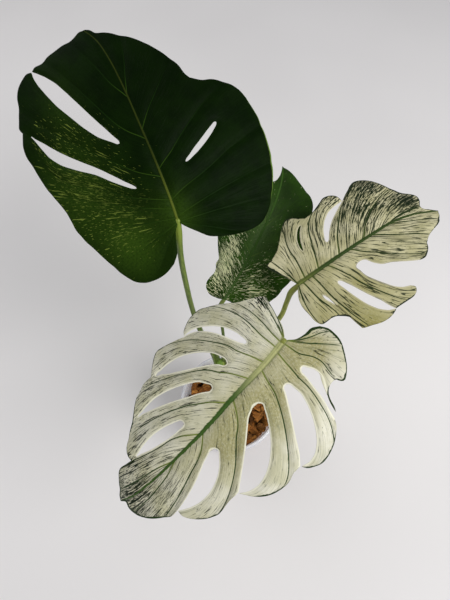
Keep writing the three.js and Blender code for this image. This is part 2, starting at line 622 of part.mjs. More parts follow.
// Roots leave the crown inside the chips, spread out and turn down beside the pot's wall
function rootsSolid(grow = 0) {
  const crown = new THREE.SphereGeometry(CROWN_RADIUS + grow, 10, 7).translate(0, 0, CROWN_HEIGHT);
  let roots = toSolid(crown);
  for (let i = 0; i < ROOTS; i += 1) {
    const angle = (2 * Math.PI * (i + 0.3)) / ROOTS;
    const at = (radius, turn, z) => [radius * Math.cos(angle + turn), radius * Math.sin(angle + turn), z];
    const start = CROWN_HEIGHT + 3 * (i % 2);
    const path = [at(2, 0, start), at(14, 0.1, start - 2), at(28, 0.25, start - 9),
      at(ROOT_SPREAD, 0.5, start - 18), at(ROOT_SPREAD - 2, 0.9, ROOT_END)];
    const radii = [ROOT_RADIUS, ROOT_RADIUS, ROOT_RADIUS * 0.9, ROOT_RADIUS * 0.8, 1];
    const side = new THREE.Vector3(-Math.sin(angle), Math.cos(angle), 0.2);
    roots = roots.add(toSolid(taperedTube(path, radii, { sides: 6, steps: 9, side, grow })));
  }
  return roots;
}

function husksSolid() {
  const random = randomSource(7);
  const low = POT_FLOOR + TOUCH_GAP;
  const profile = [
    [0, low], [innerRadius(low) - TOUCH_GAP, low], [innerRadius(BED_TOP) - TOUCH_GAP, BED_TOP], [0, BED_TOP],
  ];
  let bed = toSolid(lathe(profile, BED_SIDES));
  for (let i = 0; i < TOP_CHIPS; i += 1) {
    const radius = CHIP_REACH * Math.sqrt((i + 0.5) / TOP_CHIPS);
    const angle = i * 2.4;
    const chip = new THREE.BoxGeometry(...CHIP_SIZE);
    chip.rotateX((random() - 0.5) * 0.9);
    chip.rotateY((random() - 0.5) * 0.9);
    chip.rotateZ(random() * Math.PI);
    chip.translate(radius * Math.cos(angle), radius * Math.sin(angle), BED_TOP + random() * 2);
    bed = bed.add(toSolid(chip));
  }
  return bed;
}

function stalkSolid(leaf) {
  const frame = leafFrame(leaf);
  const below = BLADE_THICKNESS / 2 + RIB_DEPTH + TOUCH_GAP + 0.1;
  const end = vector(leaf.joint).addScaledVector(frame.up, -below);
  const radii = [...leaf.stalkRadii, leaf.stalkRadii.at(-1)];
  return toSolid(taperedTube([...leaf.stalk, end.toArray()], radii, {
    sides: STALK_SIDES, steps: STALK_STEPS, side: frame.across, endNormal: frame.up,
  }));
}

// Assembly

const plant = new THREE.Group();

function addPiece(name, geometry, colour, roughness, opacity = 1) {
  const material = new THREE.MeshStandardMaterial({
    color: colour, roughness, metalness: 0, opacity, transparent: opacity < 1,
  });
  const mesh = new THREE.Mesh(geometry, material);
  mesh.name = name;
  plant.add(mesh);
}

const stem = stemSolid();
const stemRoom = stemSolid(TOUCH_GAP);
const roots = rootsSolid().subtract(stemRoom);
const husks = husksSolid().subtract(stemRoom).subtract(rootsSolid(TOUCH_GAP));

addPiece('pot', toGeometry(potSolid()), COLOURS.pot, 0.15, 0.35);
addPiece('husk_chips', toGeometry(husks), COLOURS.husk, 0.95);
addPiece('roots', toGeometry(roots), COLOURS.root, 0.8);
addPiece('stem', toGeometry(stem), COLOURS.stem, 0.5);
for (const leaf of LEAVES) {
  addPiece(`${leaf.name}_stalk`, toGeometry(stalkSolid(leaf).subtract(stemRoom)), COLOURS.stalk, 0.45);
  addPiece(`${leaf.name}_blade`, closed(bladeGeometry(leaf)), leaf.colour, 0.4);
}

export default plant;
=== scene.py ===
"""Potted variegated monstera, in a clear nursery pot of coconut husk chips.

Every visible piece is a surface worked out with numpy. The helpers work
in millimetres, and a mesh gets metres. A leaf is drawn flat first: u runs along its midrib from the stalk,
v across it, and v above zero is the half on the right of someone who looks along the midrib from above.
"""
import math

import bpy
import numpy as np
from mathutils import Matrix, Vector


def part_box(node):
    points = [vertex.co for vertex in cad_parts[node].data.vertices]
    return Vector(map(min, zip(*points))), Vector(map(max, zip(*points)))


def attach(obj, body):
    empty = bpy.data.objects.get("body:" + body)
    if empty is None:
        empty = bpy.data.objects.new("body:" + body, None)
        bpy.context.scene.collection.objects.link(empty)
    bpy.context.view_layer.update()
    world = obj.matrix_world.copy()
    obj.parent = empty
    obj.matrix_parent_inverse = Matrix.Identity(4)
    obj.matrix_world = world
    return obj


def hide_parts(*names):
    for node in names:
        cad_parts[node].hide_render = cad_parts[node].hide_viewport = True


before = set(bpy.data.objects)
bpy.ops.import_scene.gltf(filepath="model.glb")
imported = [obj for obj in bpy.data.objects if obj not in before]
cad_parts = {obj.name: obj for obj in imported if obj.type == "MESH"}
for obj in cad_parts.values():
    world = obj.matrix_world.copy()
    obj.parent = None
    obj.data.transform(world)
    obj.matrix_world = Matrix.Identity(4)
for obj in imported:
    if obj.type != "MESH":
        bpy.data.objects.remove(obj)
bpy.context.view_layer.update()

bl_info = {
    "name": "Potted variegated monstera",
    "version": (1, 0, 0),
    "blender": (4, 5, 0),
    "location": "3D View > Sidebar > Monstera",
    "description": "Builds a young split-leaved plant in a clear pot of coconut husk chips",
    "category": "Add Mesh",
}

MM = 0.001

# The stem, the roots, the pot's floor and the height of the bed, as the CAD has them, but for the stem's top,
# which is narrower here
STEM_PATH = [[0, 0, 42], [-1, 2, 70], [-3, 6, 95], [-6.5, 13, 122], [-9, 19.5, 145], [-10.5, 23, 159]]
STEM_RADII = [5, 8, 8, 7.5, 6.6, 4.4]
STEM_NODES = [60, 82, 100, 116, 131, 141, 150]
STEM_TIP = [-11, 25.4, 168]  # its hidden end, among the feet of the stalks
CROWN_HEIGHT = 36
CROWN_RADIUS = 8
ROOT_COUNT = 6
ROOT_RADIUS = 2
ROOT_SPREAD = 37
ROOT_END = 9
DRAIN_HOLES = 8
DRAIN_RING = 31
DRAIN_RADIUS = 3.5
BED_TOP = 92

# What only this script has: the pot's finer shape, the chips, and the meshes
DRAIN_INNER = DRAIN_RING - 7.0  # the holes stand in a ring of the floor from here
DRAIN_OUTER = DRAIN_RING + 7.0
STACKING_STEP = 84.0  # height of the small step in the wall
POT_SIDES = 192
BED_BOTTOM = 2.1
BED_LIMIT = 103  # no chip reaches higher
BED_RADIUS = 51  # of the spiral of loose chips
CORE_TOP = 82.5
# The dark core stands for the gaps between the chips: its colour is painted shade.
CORE_DEPTH = 3.2  # of the dark core behind the chips at the wall
WALL_CLEARANCE = 0.75  # between the chips and the pot's wall
STEM_CLEARANCE = 3.5  # between the middle of a loose chip and the stem
GOLDEN_ANGLE = 2.39996
ROWS = 76  # rows of points from a leaf's midrib to its margin
BORDER_PUSH = 0.22  # how far the middle of a blade's edge stands out from it
CAP_RINGS = 5  # rings of points in the rounded end of a stem, stalk or root
FAR = 99.0  # stands for a distance to a slit where a leaf has none


# Leaves. Lengths are millimetres and angles degrees. joint is where the stalk meets the blade; heading is the
# midrib's direction on the map, counted from +X, rise its slope there, roll the blade's turn about it and
# droop its bend per 100 mm. fold and curl are each half's lean at the midrib and its bend per 100 mm, left
# half first. A ray runs from the midrib to the margin, from its root's u: a point [u, v] is closed, a third
# number is the width of a slit there, and four numbers are both of its sides. edges are the margin's points
# between two rays, and veins the places of the main side veins across each lobe, from 0 to 1.
# streaks, lines, the wash, deep and rim are a base value and bells [u, v, reach in u, reach in v, amount] on
# it.
# The wash is partly a tint of the leaf's own and partly painted shade and painted sheen, bell by bell.
FRONT_LEAF = dict(
    name="front_leaf", slot="white_leaf",
    joint=[38, -18, 333], heading=-140, rise=-10, roll=0, droop=20, fold=[0, 6], curl=[14, 36],
    midrib=[[0, 0], [20, -3], [40, -4.5], [60, -5.5], [80, -7], [100, -7.5], [120, -7], [140, -6],
        [160, -4], [180, -0.5], [190, 3.2], [196, 5]],
    spine_start=140,
    stalk=[[-5, 11, 118], [3, 7, 138], [8, 4, 165], [13, 2, 200], [20, -1, 240], [29, -6, 280],
        [35, -12, 310]],
    stalk_radii=[5, 4.6, 4.2, 3.8, 3.5, 3.2, 3],
    left=dict(
        rays=[
            [0, [-7.3, -5.4], [-14, -7], [-21, -7], [-26.5, -10]],
            [0, [-8, -12], [-15, -22], [-21, -31], [-25, -37]],
            [5, [4.5, -12], [5.4, -23.5], [2, -25.3, 6.9, -28.4], [-1.1, -29.8, 7.4, -34.8],
                [-2.2, -35, 8.2, -41.2], [-1.3, -39.8, 8.6, -46.7], [1.3, -44.7, 9.4, -51.5],
                [4.3, -49, 10.4, -55.3], [6.7, -54.1, 11.2, -58.9], [8.5, -61.6, 12.4, -64.1]],
            [17, [20, -14], [21.7, -24.5], [18.9, -28.7, 25.3, -27.7], [17.9, -36.7, 29.3, -34.7],
                [20, -45.8, 33.8, -42.4], [23.4, -53.8, 38.3, -49.8], [27.8, -61.3, 42.4, -56.4],
                [33.2, -67.8, 46, -62.3], [39.6, -72.3, 49, -66.4], [46.4, -73.7, 51.9, -69.5],
                [52.7, -72.1, 53.2, -71.4]],
            [41, [43, -12], [45.4, -20.8], [43.9, -25.1, 50.6, -20.3], [47, -31.8, 57.6, -23.4],
                [52.1, -39.9, 64.3, -29.1], [58.5, -48, 72.4, -35.9], [66.4, -54.7, 79.4, -41.2],
                [75.7, -59.8, 88.2, -47.4], [85.4, -61.7, 95, -52], [93.9, -59.8, 98.6, -54.6],
                [99.9, -56.3, 100.3, -55.7]],
            [76, [84, -16], [91.9, -22.2], [91.3, -26.5, 96.5, -21.2], [97.1, -33.1, 105.3, -23.6],
                [103.1, -37.4, 112.9, -26.6], [110.5, -40.5, 121.3, -29.5], [118, -42.1, 130, -31.6],
                [126.8, -42.1, 137.9, -33], [134.5, -40.6, 143.2, -33.7], [141.7, -38, 147.1, -34.1],
                [148.3, -34.9, 149.2, -34.3]],
            [106, [120, -15], [140, -19], [160, -20], [178, -20.5]],
        ],
        edges=[
            [[-30, -16], [-30.3, -22.5], [-29.2, -29.5]],
            [[-20, -44], [-15.1, -48.3], [-11.6, -50], [-9.3, -48.2], [-8, -45.6], [-5.2, -45],
                [-1.6, -45.6], [1.2, -47.1], [3.9, -50], [5.8, -54.4], [6.9, -58.4]],
            [[15, -68.3], [19, -72], [25, -76], [32, -78.5], [40, -79.5], [46, -77.5], [50, -75.3]],
            [[60, -71.5], [66, -73.5], [72, -73.8], [79, -72.5], [86, -69.5], [92, -65], [97, -59.5]],
            [[108, -55.3], [116, -56], [124, -56.8], [131, -54.5], [138, -50.5], [144, -45],
                [147.5, -39.5]],
            [[153.5, -34.2], [158.5, -33.6], [164, -31], [171, -26]],
            [[183, -16.5], [187.5, -12.5], [190, -9], [190.3, -4], [190, 0.5], [193, 3]],
        ],
        veins=[[0.35, 0.75], [0.5], [0.42], [0.42], [0.45], [0.48], [0.45]],
    ),
    right=dict(
        rays=[
            [0, [-5, 6], [-8, 13], [-9.5, 20], [-10, 26]],
            [0, [-2, 12], [-4, 24], [-6, 36], [-7, 46]],
            [15, [18, 8], [21.4, 18.6], [20.9, 24.2, 23.9, 19.9], [21.6, 30.5, 26.3, 24],
                [23.8, 37.8, 28.7, 30.1], [27.2, 44.8, 31.8, 37.9], [32.1, 51.8, 35.6, 45.9],
                [38.1, 58, 40.7, 53.9], [44.2, 63.3, 45.5, 59.4], [51, 66.8, 51.5, 63.8],
                [57.3, 67.4, 57.4, 66.7]],
            [30, [37, 9], [43.5, 17], [45.5, 22, 6], [50, 29, 9.5], [57, 36, 12], [66, 43, 13.5],
                [76, 49.5, 13], [86, 54.5, 9.5], [94, 58, 4], [100, 60], [107.3, 60.5]],
            [50, [58, 5], [64, 11], [67, 14, 6], [72, 19, 9], [80, 24, 10.5], [90, 29.5, 10.5],
                [100, 34.2, 10], [110, 38, 8.5], [120, 40.5, 5.5], [128, 42, 2], [133, 42.5],
                [140.3, 42.7]],
            [78, [90, 2], [98.5, 7], [102, 9, 6], [108, 10.5, 8], [116, 12.5, 9.5], [125, 14.5, 9.5],
                [134, 16, 8], [142, 17.3, 5], [148, 18, 2], [152, 18.4], [158.3, 18.6]],
            [112, [130, 2], [150, 8], [168, 13], [184, 17.5]],
        ],
        edges=[
            [[-12, 31], [-14.5, 37], [-12.5, 42]],
            [[-1, 51], [5, 57], [12, 64], [18, 70], [25, 75.5], [32, 78.7], [40, 79.3], [46, 77.5],
                [52, 73.6], [55.5, 70.5]],
            [[62, 68], [67, 70.2], [72, 73], [79, 76.5], [85, 79], [90, 78], [95, 73.5], [100, 67.5],
                [104, 62.5]],
            [[111, 62.8], [115, 64.2], [120, 63], [126, 59], [130, 53.5], [135, 47]],
            [[146, 41], [151, 38.5], [155, 34], [158, 28], [159, 22.5]],
            [[164, 20.3], [170, 22.3], [175, 23.5], [179.5, 22.5]],
            [[188, 13.3], [192, 9.3]],
        ],
        veins=[[0.35, 0.75], [0.2, 0.55], [0.46], [0.42], [0.44], [0.45], [0.45]],
    ),
    streaks=[0.05, [80, 45, 55, 22, 0.06], [165, 0, 30, 30, 0.2], [182, 0, 14, 20, 0.25],
        [112, 57, 28, 9, 0.14], [-11, 41, 6, 9, 0.45], [10, 30, 22, 18, 0.07], [-24, -13, 9, 9, 0.12],
        [30, 74, 22, 8, 0.1], [60, -50, 45, 25, -0.04]],
    lines=[0.2, [80, 45, 60, 24, 0.34], [165, 0, 36, 34, 0.6], [60, -45, 50, 25, -0.12],
        [110, -38, 30, 16, 0.1], [5, 35, 20, 20, -0.1]],
    # The last two wash bells, on the left half near the midrib and on the left basal lobe by the stalk, are
    # painted shade.
    wash=[0.06, [20, -2, 30, 7, 0.4], [60, 45, 70, 36, 0.45], [165, 0, 36, 34, 0.35], [60, -26, 60, 24, 1.2],
        [-8, -18, 18, 16, 1.0]],
    deep=[0.0, [186, 12, 7, 6, 0.35]],
    rim=[0.0, [36, -78, 22, 9, 0.2], [84, -72, 14, 8, 0.2], [132, -54, 16, 10, 0.2], [5, -57, 7, 8, 0.8],
        [172, -26, 14, 8, 0.45], [188, -2, 9, 22, 0.6], [168, 22, 16, 10, 0.3], [140, 46, 18, 16, 0.26],
        [95, 76, 16, 12, 0.22], [30, 77, 30, 12, 0.2], [-20, -8, 9, 6, 0.6], [-29, -20, 7, 9, 0.4],
        [-26, -38, 8, 10, 0.25], [-13, -50, 7, 5, 0.4]],
    look=dict(gloss=0.18, rough=0.44, mottle=0.4, fine_veins=0.34, line_pitch=4.4, line_width=1.15,
              streak=(0.5, 6.6), fleck=(2.4, 14.0), clusters=0.2, ragged=0.0, marks=1.0,
              vein_width=0.64, vein_end=0.9, vein_turn=(0.0, 0.34), rib_width=(2.7, 0.6), rib_taper=1.3,
              rib_turn=(22, 62), feather=1.4, slit_highlight_strength=0.9, rim_width=3.6, rim_ragged=2.0, pale_under=0.6),
)

RIGHT_LEAF = dict(
    name="right_leaf", slot="streaked_cream_leaf",
    joint=[54, 35, 324], heading=33, rise=14, roll=0, droop=18, fold=[0, 0], curl=[20, 20],
    midrib=[[0, -0.5], [40, -1], [80, -2], [105, -2.5], [125, 0], [140, 3.5], [154, 7]],
    spine_start=110,
    stalk=[[-8, 17, 135], [2, 22, 155], [9, 22, 185], [17, 21, 215], [30, 21, 258], [38.5, 22, 277],
      [43.6, 24.6, 290], [46.9, 30.4, 304], [49.3, 33.6, 314]],
    stalk_radii=[4.4, 3.9, 3.3, 2.9, 2.6, 2.4, 2.2, 2.2, 2.3],
    left=dict(
        rays=[
            [0, [-3, -8], [-5.5, -14], [-8.5, -20], [-10.5, -26]],
            [0, [3, -12], [5, -24], [5, -36]],
            [14, [18, -12], [21.5, -22.5], [23, -28, 2.5], [26, -34.5, 3], [31, -41, 2.5], [36, -45],
                [43.2, -48]],
            [31, [36, -8], [42.5, -17], [45, -20.5, 4], [50, -27, 5.5], [57, -33.5, 6.5], [65, -38.5, 6.5],
                [73, -41.8, 4], [79, -43.8, 2], [83, -45.2, 0.6]],
            [58, [72, -17], [88, -29], [103, -37], [116, -42], [127.5, -45]],
            [84, [98, -10], [112, -15], [127, -18.5], [140.5, -21]],
        ],
        edges=[
            [[-10.5, -30], [-5, -31.7], [0, -33.2]],
            [[12, -43], [19, -51], [25, -56.5], [30, -58.7], [35, -56.5], [39, -51.5]],
            [[50, -49], [58, -51.5], [65, -54.5], [71, -57], [77, -56], [81, -52.5]],
            [[88, -46.5], [95, -51], [101, -55.5], [108, -58.3], [115, -58], [121, -55.5], [125.5, -51]],
            [[128, -38.5], [130.5, -34], [135, -27]],
            [[143.5, -17.5], [144.8, -13.5], [142.5, -8.5], [138.5, -3.5], [139, -0.3], [146, 3]],
        ],
        veins=[[0.5], [0.55], [0.42], [0.42], [0.45], [0.5]],
    ),
    right=dict(
        rays=[
            [0, [-4, 5], [-7.5, 11], [-9, 18], [-8.5, 26]],
            [0, [0, 12], [1, 25], [3, 38]],
            [8, [9, 10], [10, 19], [11.2, 23.5, 2.8], [13, 28, 2.2], [14.3, 31.5], [15.3, 38],
                [16.2, 45.5]],
            [20, [24, 9], [26.8, 16.5], [28.3, 20.5, 4.5], [31, 28, 6.5], [33.8, 36, 7.5], [37, 43.5, 8.3],
                [41.5, 51, 8], [46, 57, 4.5], [50.2, 60.6, 0.6]],
            [41, [46, 7], [50, 13], [47, 18, 58, 15], [48, 25, 61, 20], [51, 31, 66, 25],
                [54.5, 37.5, 73, 27.5], [59, 44, 80, 31], [66, 49.5, 88, 35], [73, 52, 96, 38.5]],
            [66, [80, 9], [92, 17], [103, 23.5], [113, 29]],
            [90, [104, 6], [117, 11], [128, 15.5], [137, 19.3]],
        ],
        edges=[
            [[-8, 33], [-5.5, 37.7], [-1, 38.2]],
            [[8, 39], [12.5, 42]],
            [[17, 50], [19, 54], [18, 57.5], [26, 60.5], [34, 63], [41, 63.3], [46, 62.3]],
            [[55, 60.2], [62, 60.3], [69, 60], [73.5, 57.8], [75.3, 54.8]],
            [[101, 38.8], [106, 36.7], [110, 33.3]],
            [[118, 26], [124, 23.2], [130, 21.2]],
            [[143, 16.5], [149, 12.5]],
        ],
        veins=[[0.5], [0.5], [0.42], [0.42], [0.5], [0.5], [0.5]],
    ),
    streaks=[0.05, [72, -25, 22, 20, 0.16], [98, -30, 24, 20, 0.3], [113, -48, 17, 11, 0.45],
        [130, -14, 15, 12, 0.55], [85, 38, 30, 18, 0.06], [55, 67, 9, 7, 0.3],
        [72, -52, 12, 6, 0.3], [106, 37, 8, 6, 0.3], [30, -52, 12, 6, 0.2]],
    # The lines bell at [50, 40] on the right half adds dark lines that are partly the leaf's own and partly
    # painted shadows of folds and veins.
    lines=[0.34, [95, -25, 42, 34, 0.6], [110, 12, 40, 22, 0.22], [60, -30, 26, 24, 0.3],
        [50, 40, 40, 18, 0.3], [5, 35, 18, 20, -0.1]],
    wash=[0.08, [-12, 55, 22, 16, 0.8], [25, 66, 24, 14, 0.7], [10, 0, 22, 8, 0.4], [34, 34, 50, 26, 0.55]],
    deep=[0.0, [132, -14, 9, 8, 0.75], [116, -54, 10, 4, 0.7]],
    rim=[0.06, [108, -55, 18, 9, 0.6], [135, -25, 14, 14, 0.8], [70, -55, 14, 6, 0.4], [58, 62, 12, 6, 0.4],
        [105, 38, 12, 8, 0.4], [140, 14, 10, 8, 0.5], [30, -58, 8, 6, 0.4], [-8, -22, 6, 9, 0.7],
        [12, 42, 16, 5, 0.5]],
    look=dict(gloss=0.16, rough=0.46, mottle=0.45, fine_veins=0.4, line_pitch=3.9, line_width=1.15,
              streak=(0.42, 6.8), fleck=(2.2, 14.0), clusters=0.24, ragged=0.0, marks=1.0,
              vein_width=0.76, vein_end=0.94, vein_turn=(0.0, 0.2), rib_width=(2.0, 0.8), rib_taper=1.0,
              rib_turn=(0, 30), feather=1.0, slit_highlight_strength=0.4, rim_width=2.2, rim_ragged=2.5, pale_under=0.5),
)

DARK_LEAF = dict(
    name="dark_leaf", slot="dark_green_leaf",
    joint=[-43, 72, 359], heading=121, rise=40, roll=-14, droop=15, fold=[3, 3], curl=[16, 20],
    midrib=[[0, 0], [20, 2], [50, 3.5], [80, 4], [110, 4.3], [135, 3], [152, 0], [165, -6]],
    spine_start=120,
    stalk=[[-10, 20, 143], [-13.6, 26, 160], [-18, 31.2, 178], [-25, 36.3, 198], [-31.5, 40.7, 221],
      [-37.4, 47, 254], [-41.7, 56, 295], [-43.4, 62, 322], [-43.5, 66, 343]],
    stalk_radii=[5.2, 4.8, 3.9, 3.1, 2.7, 2.5, 2.5, 2.5, 2.8],
    left=dict(
        rays=[
            [0, [-6, -5], [-14, -8], [-22, -11], [-29, -17]],
            [0, [-7, -12], [-14, -27], [-20, -42], [-25, -57]],
            [0, [0, -17], [0, -35], [0, -52], [0, -68]],
            [6, [14, -17], [24, -36], [33, -56], [42, -78]],
            [24, [31, -11], [36, -18.5], [41, -24, 3.5], [50, -32.5, 5], [60, -41.5, 5.5], [70, -52.5, 7.5],
                [80, -62.5, 9], [89, -69, 8], [98, -73.5, 5], [106, -77.5, 1.5], [110, -79.5],
                [115.3, -84.3]],
            [52, [63, -9], [71.5, -16], [75, -18.5, 4], [85, -25.5, 9], [97, -32, 11], [109, -37.5, 12],
                [122, -43.3, 13], [134, -48, 12], [144, -52.5, 9], [151, -55.5, 5], [155.5, -57, 0.8]],
            [84, [103, -10], [123, -18], [142, -26], [160.5, -33]],
        ],
        edges=[
            [[-33, -25], [-35, -34], [-34.5, -44], [-30.5, -52.5]],
            [[-18, -61], [-9, -64.5]],
            [[8, -71], [17, -75], [26, -77.3], [34, -77.5]],
            [[50, -80], [59, -83.3], [70, -86], [82, -88], [95, -89.2], [104, -88], [110, -86]],
            [[118, -85.5], [120.5, -86], [126, -83.5], [133, -80], [141, -76.5], [148, -72], [152.5, -66.5],
                [155.5, -61]],
            [[157, -54], [157.5, -48], [159.5, -41]],
            [[161.8, -24], [162.5, -15], [165, -9.5]],
        ],
        veins=[[0.5], [0.5], [0.5], [0.25, 0.65], [0.42], [0.46], [0.45]],
    ),
    right=dict(
        rays=[
            [0, [-6, 4.5], [-13, 11], [-20, 18], [-24, 26]],
            [0, [-5, 17], [-11, 36], [-17, 55], [-23, 72]],
            [0, [1, 20], [2, 42], [2, 65], [1, 87.5]],
            [8, [13, 18], [18, 42], [22, 68], [26, 94.3]],
            [30, [35, 13], [39.5, 24.5], [41.5, 29, 3], [45, 36, 4.5], [49.5, 44.5, 4.8], [54, 52, 4.6],
                [57.5, 57.5, 3.5], [59.5, 60.5], [65, 76], [70, 93]],
            [58, [68, 15], [78, 28], [88, 41], [98, 54]],
            [88, [101, 12], [113, 21], [124, 28.5], [134, 35.5]],
        ],
        edges=[
            [[-27, 35], [-29.3, 45], [-30, 55], [-28.5, 64]],
            [[-16, 78], [-8, 83]],
            [[9, 90.7], [17, 93]],
            [[38, 95.5], [50, 96], [61, 95]],
            [[76, 90], [82, 85], [88, 78.5], [92.5, 71], [94, 63]],
            [[102, 51.5], [110, 49.8], [118, 46.5], [126, 41.5]],
            [[143, 26.5], [150, 17], [155, 8.5], [158, 1.5], [162, -1.5]],
        ],
        veins=[[0.5], [0.5], [0.5], [0.42], [0.45], [0.55], [0.45]],
    ),
    streaks=[0.003, [55, -52, 46, 34, 0.13], [95, -62, 25, 15, 0.06], [10, -45, 25, 22, 0.08]],
    lines=[0.0, [60, -55, 45, 34, 0.15]],
    # Here the wash is a brighter green over the left half's lobes, the left basal lobe and the stalk's end,
    # and deep darkens the whole blade a little and the right half more.
    wash=[0.0, [50, -62, 46, 30, 0.6], [-4, -40, 26, 22, 0.9], [120, -45, 26, 14, 0.3], [6, 2, 20, 14, 0.8]],
    deep=[0.15, [110, 40, 60, 60, 0.5]],
    rim=[0.0, [10, 92, 40, 9, 0.9]],
    look=dict(gloss=0.04, rough=0.46, mottle=0.4, fine_veins=0.12, line_pitch=3.6, line_width=0.8,
              streak=(0.6, 7.0), fleck=(2.4, 14.0), clusters=0.34, ragged=0.3, marks=0.8,
              vein_width=0.34, vein_end=0.3, vein_turn=(0.05, 0.35), rib_width=(1.1, 0.4), rib_taper=1.2,
              rib_turn=(0, 60), feather=0.6, slit_highlight_strength=0.2, rim_width=1.0, rim_ragged=0.5, pale_under=0.75),
)

MARBLED_LEAF = dict(
    name="marbled_leaf", slot="marbled_leaf",
    joint=[-7, 51, 268], heading=65, rise=30, roll=0, droop=20, fold=[8, 0], curl=[40, 20],
    midrib=[[0, 0], [10, 2], [30, 5], [55, 7.5], [80, 8.5], [105, 8], [125, 5.5], [138, 2.5],
        [150, -2]],
    spine_start=100,
    stalk=[[-8.5, 21.5, 150], [-6.8, 23.8, 162], [-8.4, 29, 180], [-7.8, 37.6, 212], [-10, 46, 235],
      [-11, 52, 252]],
    stalk_radii=[2.4, 2, 1.8, 1.6, 1.7, 1.9],
    left=dict(
        rays=[
            [0, [-0.5, -3], [-1, -6], [-1, -9]],
            [0, [4, -7], [7, -15], [10, -22.5]],
            [12, [20, -5], [29, -14], [39, -23]],
            [34, [48, -8], [62, -25], [76, -42]],
            [66, [80, -6], [93, -21], [106, -36]],
        ],
        edges=[
            [[-1, -13], [1, -18], [5, -21.3]],
            [[15, -21.3], [20, -19.7], [25, -20.5], [30, -22], [34, -20.7]],
            [[48, -28], [57, -32.5], [66, -38]],
            [[86, -43.3], [96, -42]],
            [[115, -28], [122, -18], [126.5, -9], [128.5, -4], [131, -1.5], [138, 0], [145, -0.7]],
        ],
        veins=[[0.5], [0.5], [0.45], [0.45], [0.45]],
    ),
    right=dict(
        rays=[
            [0, [0.5, 4], [0, 8], [-1, 13]],
            [0, [3, 11], [5, 22], [5, 34]],
            [12, [17, 16], [23, 31], [30, 47]],
            [32, [45, 20], [58, 38], [70, 56]],
            [62, [77, 20], [92, 33], [106, 44.5]],
        ],
        edges=[
            [[-1, 19], [1, 26]],
            [[10, 38.5], [15, 41], [22, 45]],
            [[37, 50], [44, 52], [53, 54], [62, 55.5]],
            [[80, 55], [90, 51], [98, 47]],
            [[113, 43.8], [119, 41.8], [125, 37.5], [131, 31], [137, 22.5], [143.5, 11.5]],
        ],
        veins=[[0.5], [0.5], [0.45], [0.45], [0.45]],
    ),
    streaks=[0.02, [26, -14, 27, 12, 0.44], [18, 22, 20, 20, 0.2], [64, -14, 18, 10, 0.08]],
    lines=[0.02, [30, -10, 32, 16, 0.2], [28, 28, 28, 22, 0.15]],
    # The wash bells along and beside the midrib are a painted grey-green sheen.
    wash=[0.05, [75, 6, 34, 12, 0.6], [60, 20, 26, 12, 0.2]],
    deep=[0.0, [125, 18, 34, 22, 0.6], [85, 34, 26, 10, 0.5]],
    rim=[0.0, [138, 2, 14, 6, 0.6]],
    look=dict(gloss=0.1, rough=0.46, mottle=0.4, fine_veins=0.12, line_pitch=3.6, line_width=1.0,
              streak=(0.9, 5.0), fleck=(2.6, 13.0), clusters=0.42, ragged=1.5, marks=0.92,
              vein_width=0.4, vein_end=0.7, vein_turn=(0.0, 0.4), rib_width=(1.3, 0.7), rib_taper=1.0,
              rib_turn=(0, 60), feather=0.6, slit_highlight_strength=0.0, rim_width=1.0, rim_ragged=1.0, pale_under=0.7),
)


# Curves


def screen(red, green, blue):
    """Scene-linear colour of a screen colour given from 0 to 255."""
    shown = np.array([red, green, blue]) / 255
    linear = np.where(shown <= 0.04045, shown / 12.92, ((shown + 0.055) / 1.055) ** 2.4)
    return tuple(float(c) for c in linear)


def spans_of(points):
    """Cubic coefficients of a centripetal Catmull-Rom curve through the points.

    A knot's spacing is the square root of the distance to the next one, and the first and last spans are
    carried on by a mirrored point beyond each end.
    """
    p = np.asarray(points, float)
    around = np.vstack([2 * p[0] - p[1], p, 2 * p[-1] - p[-2]])
    step = np.sqrt(np.linalg.norm(np.diff(around, axis=0), axis=1)).clip(1e-4)[:, None]
    before, here, after = step[:-2], step[1:-1], step[2:]
    x0, x1, x2, x3 = (around[i:len(around) - 3 + i] for i in range(4))
    leave = here * ((x1 - x0) / before - (x2 - x0) / (before + here) + (x2 - x1) / here)
    reach = here * ((x2 - x1) / here - (x3 - x1) / (here + after) + (x3 - x2) / after)
    return x1, leave, 3 * (x2 - x1) - 2 * leave - reach, 2 * (x1 - x2) + leave + reach


def curve_at(points, t):
    """Points of that curve at t from 0 to 1, where every span has the same share of t."""
    spans = spans_of(points)
    place = np.clip(np.asarray(t, float), 0, 1) * len(spans[0])
    i = np.minimum(place.astype(int), len(spans[0]) - 1)
    f = (place - i)[:, None]
    return spans[0][i] + f * (spans[1][i] + f * (spans[2][i] + f * spans[3][i]))


def travelled(points):
    """Length along a row of points, starting at zero."""
    return np.concatenate([[0], np.cumsum(np.linalg.norm(np.diff(points, axis=0), axis=1))])


def along_curve(points, shares):
    """Points of the curve at the given shares of its length."""
    t = np.linspace(0, 1, 50 * (len(points) - 1) + 1)
    arc = travelled(curve_at(points, t))
    return curve_at(points, np.interp(np.asarray(shares) * arc[-1], arc, t))


def between(places, stops, values):
    """Columns of values at the places, on straight lines between the stops."""
    return np.stack([np.interp(places, stops, column) for column in values.T], axis=-1)


def blend(first, second, share):
    """Straight mixture of two values."""
    return first + (second - first) * share


def soft_step(low, high, x):
    """0 below low and 1 above high, with the smooth cubic 3x^2 - 2x^3 between them."""
    x = np.clip((x - low) / (high - low), 0, 1)
    return x * x * (3 - 2 * x)


def unit(vectors):
    """The vectors at length one."""
    return vectors / np.maximum(np.linalg.norm(vectors, axis=-1, keepdims=True), 1e-9)


# Meshes


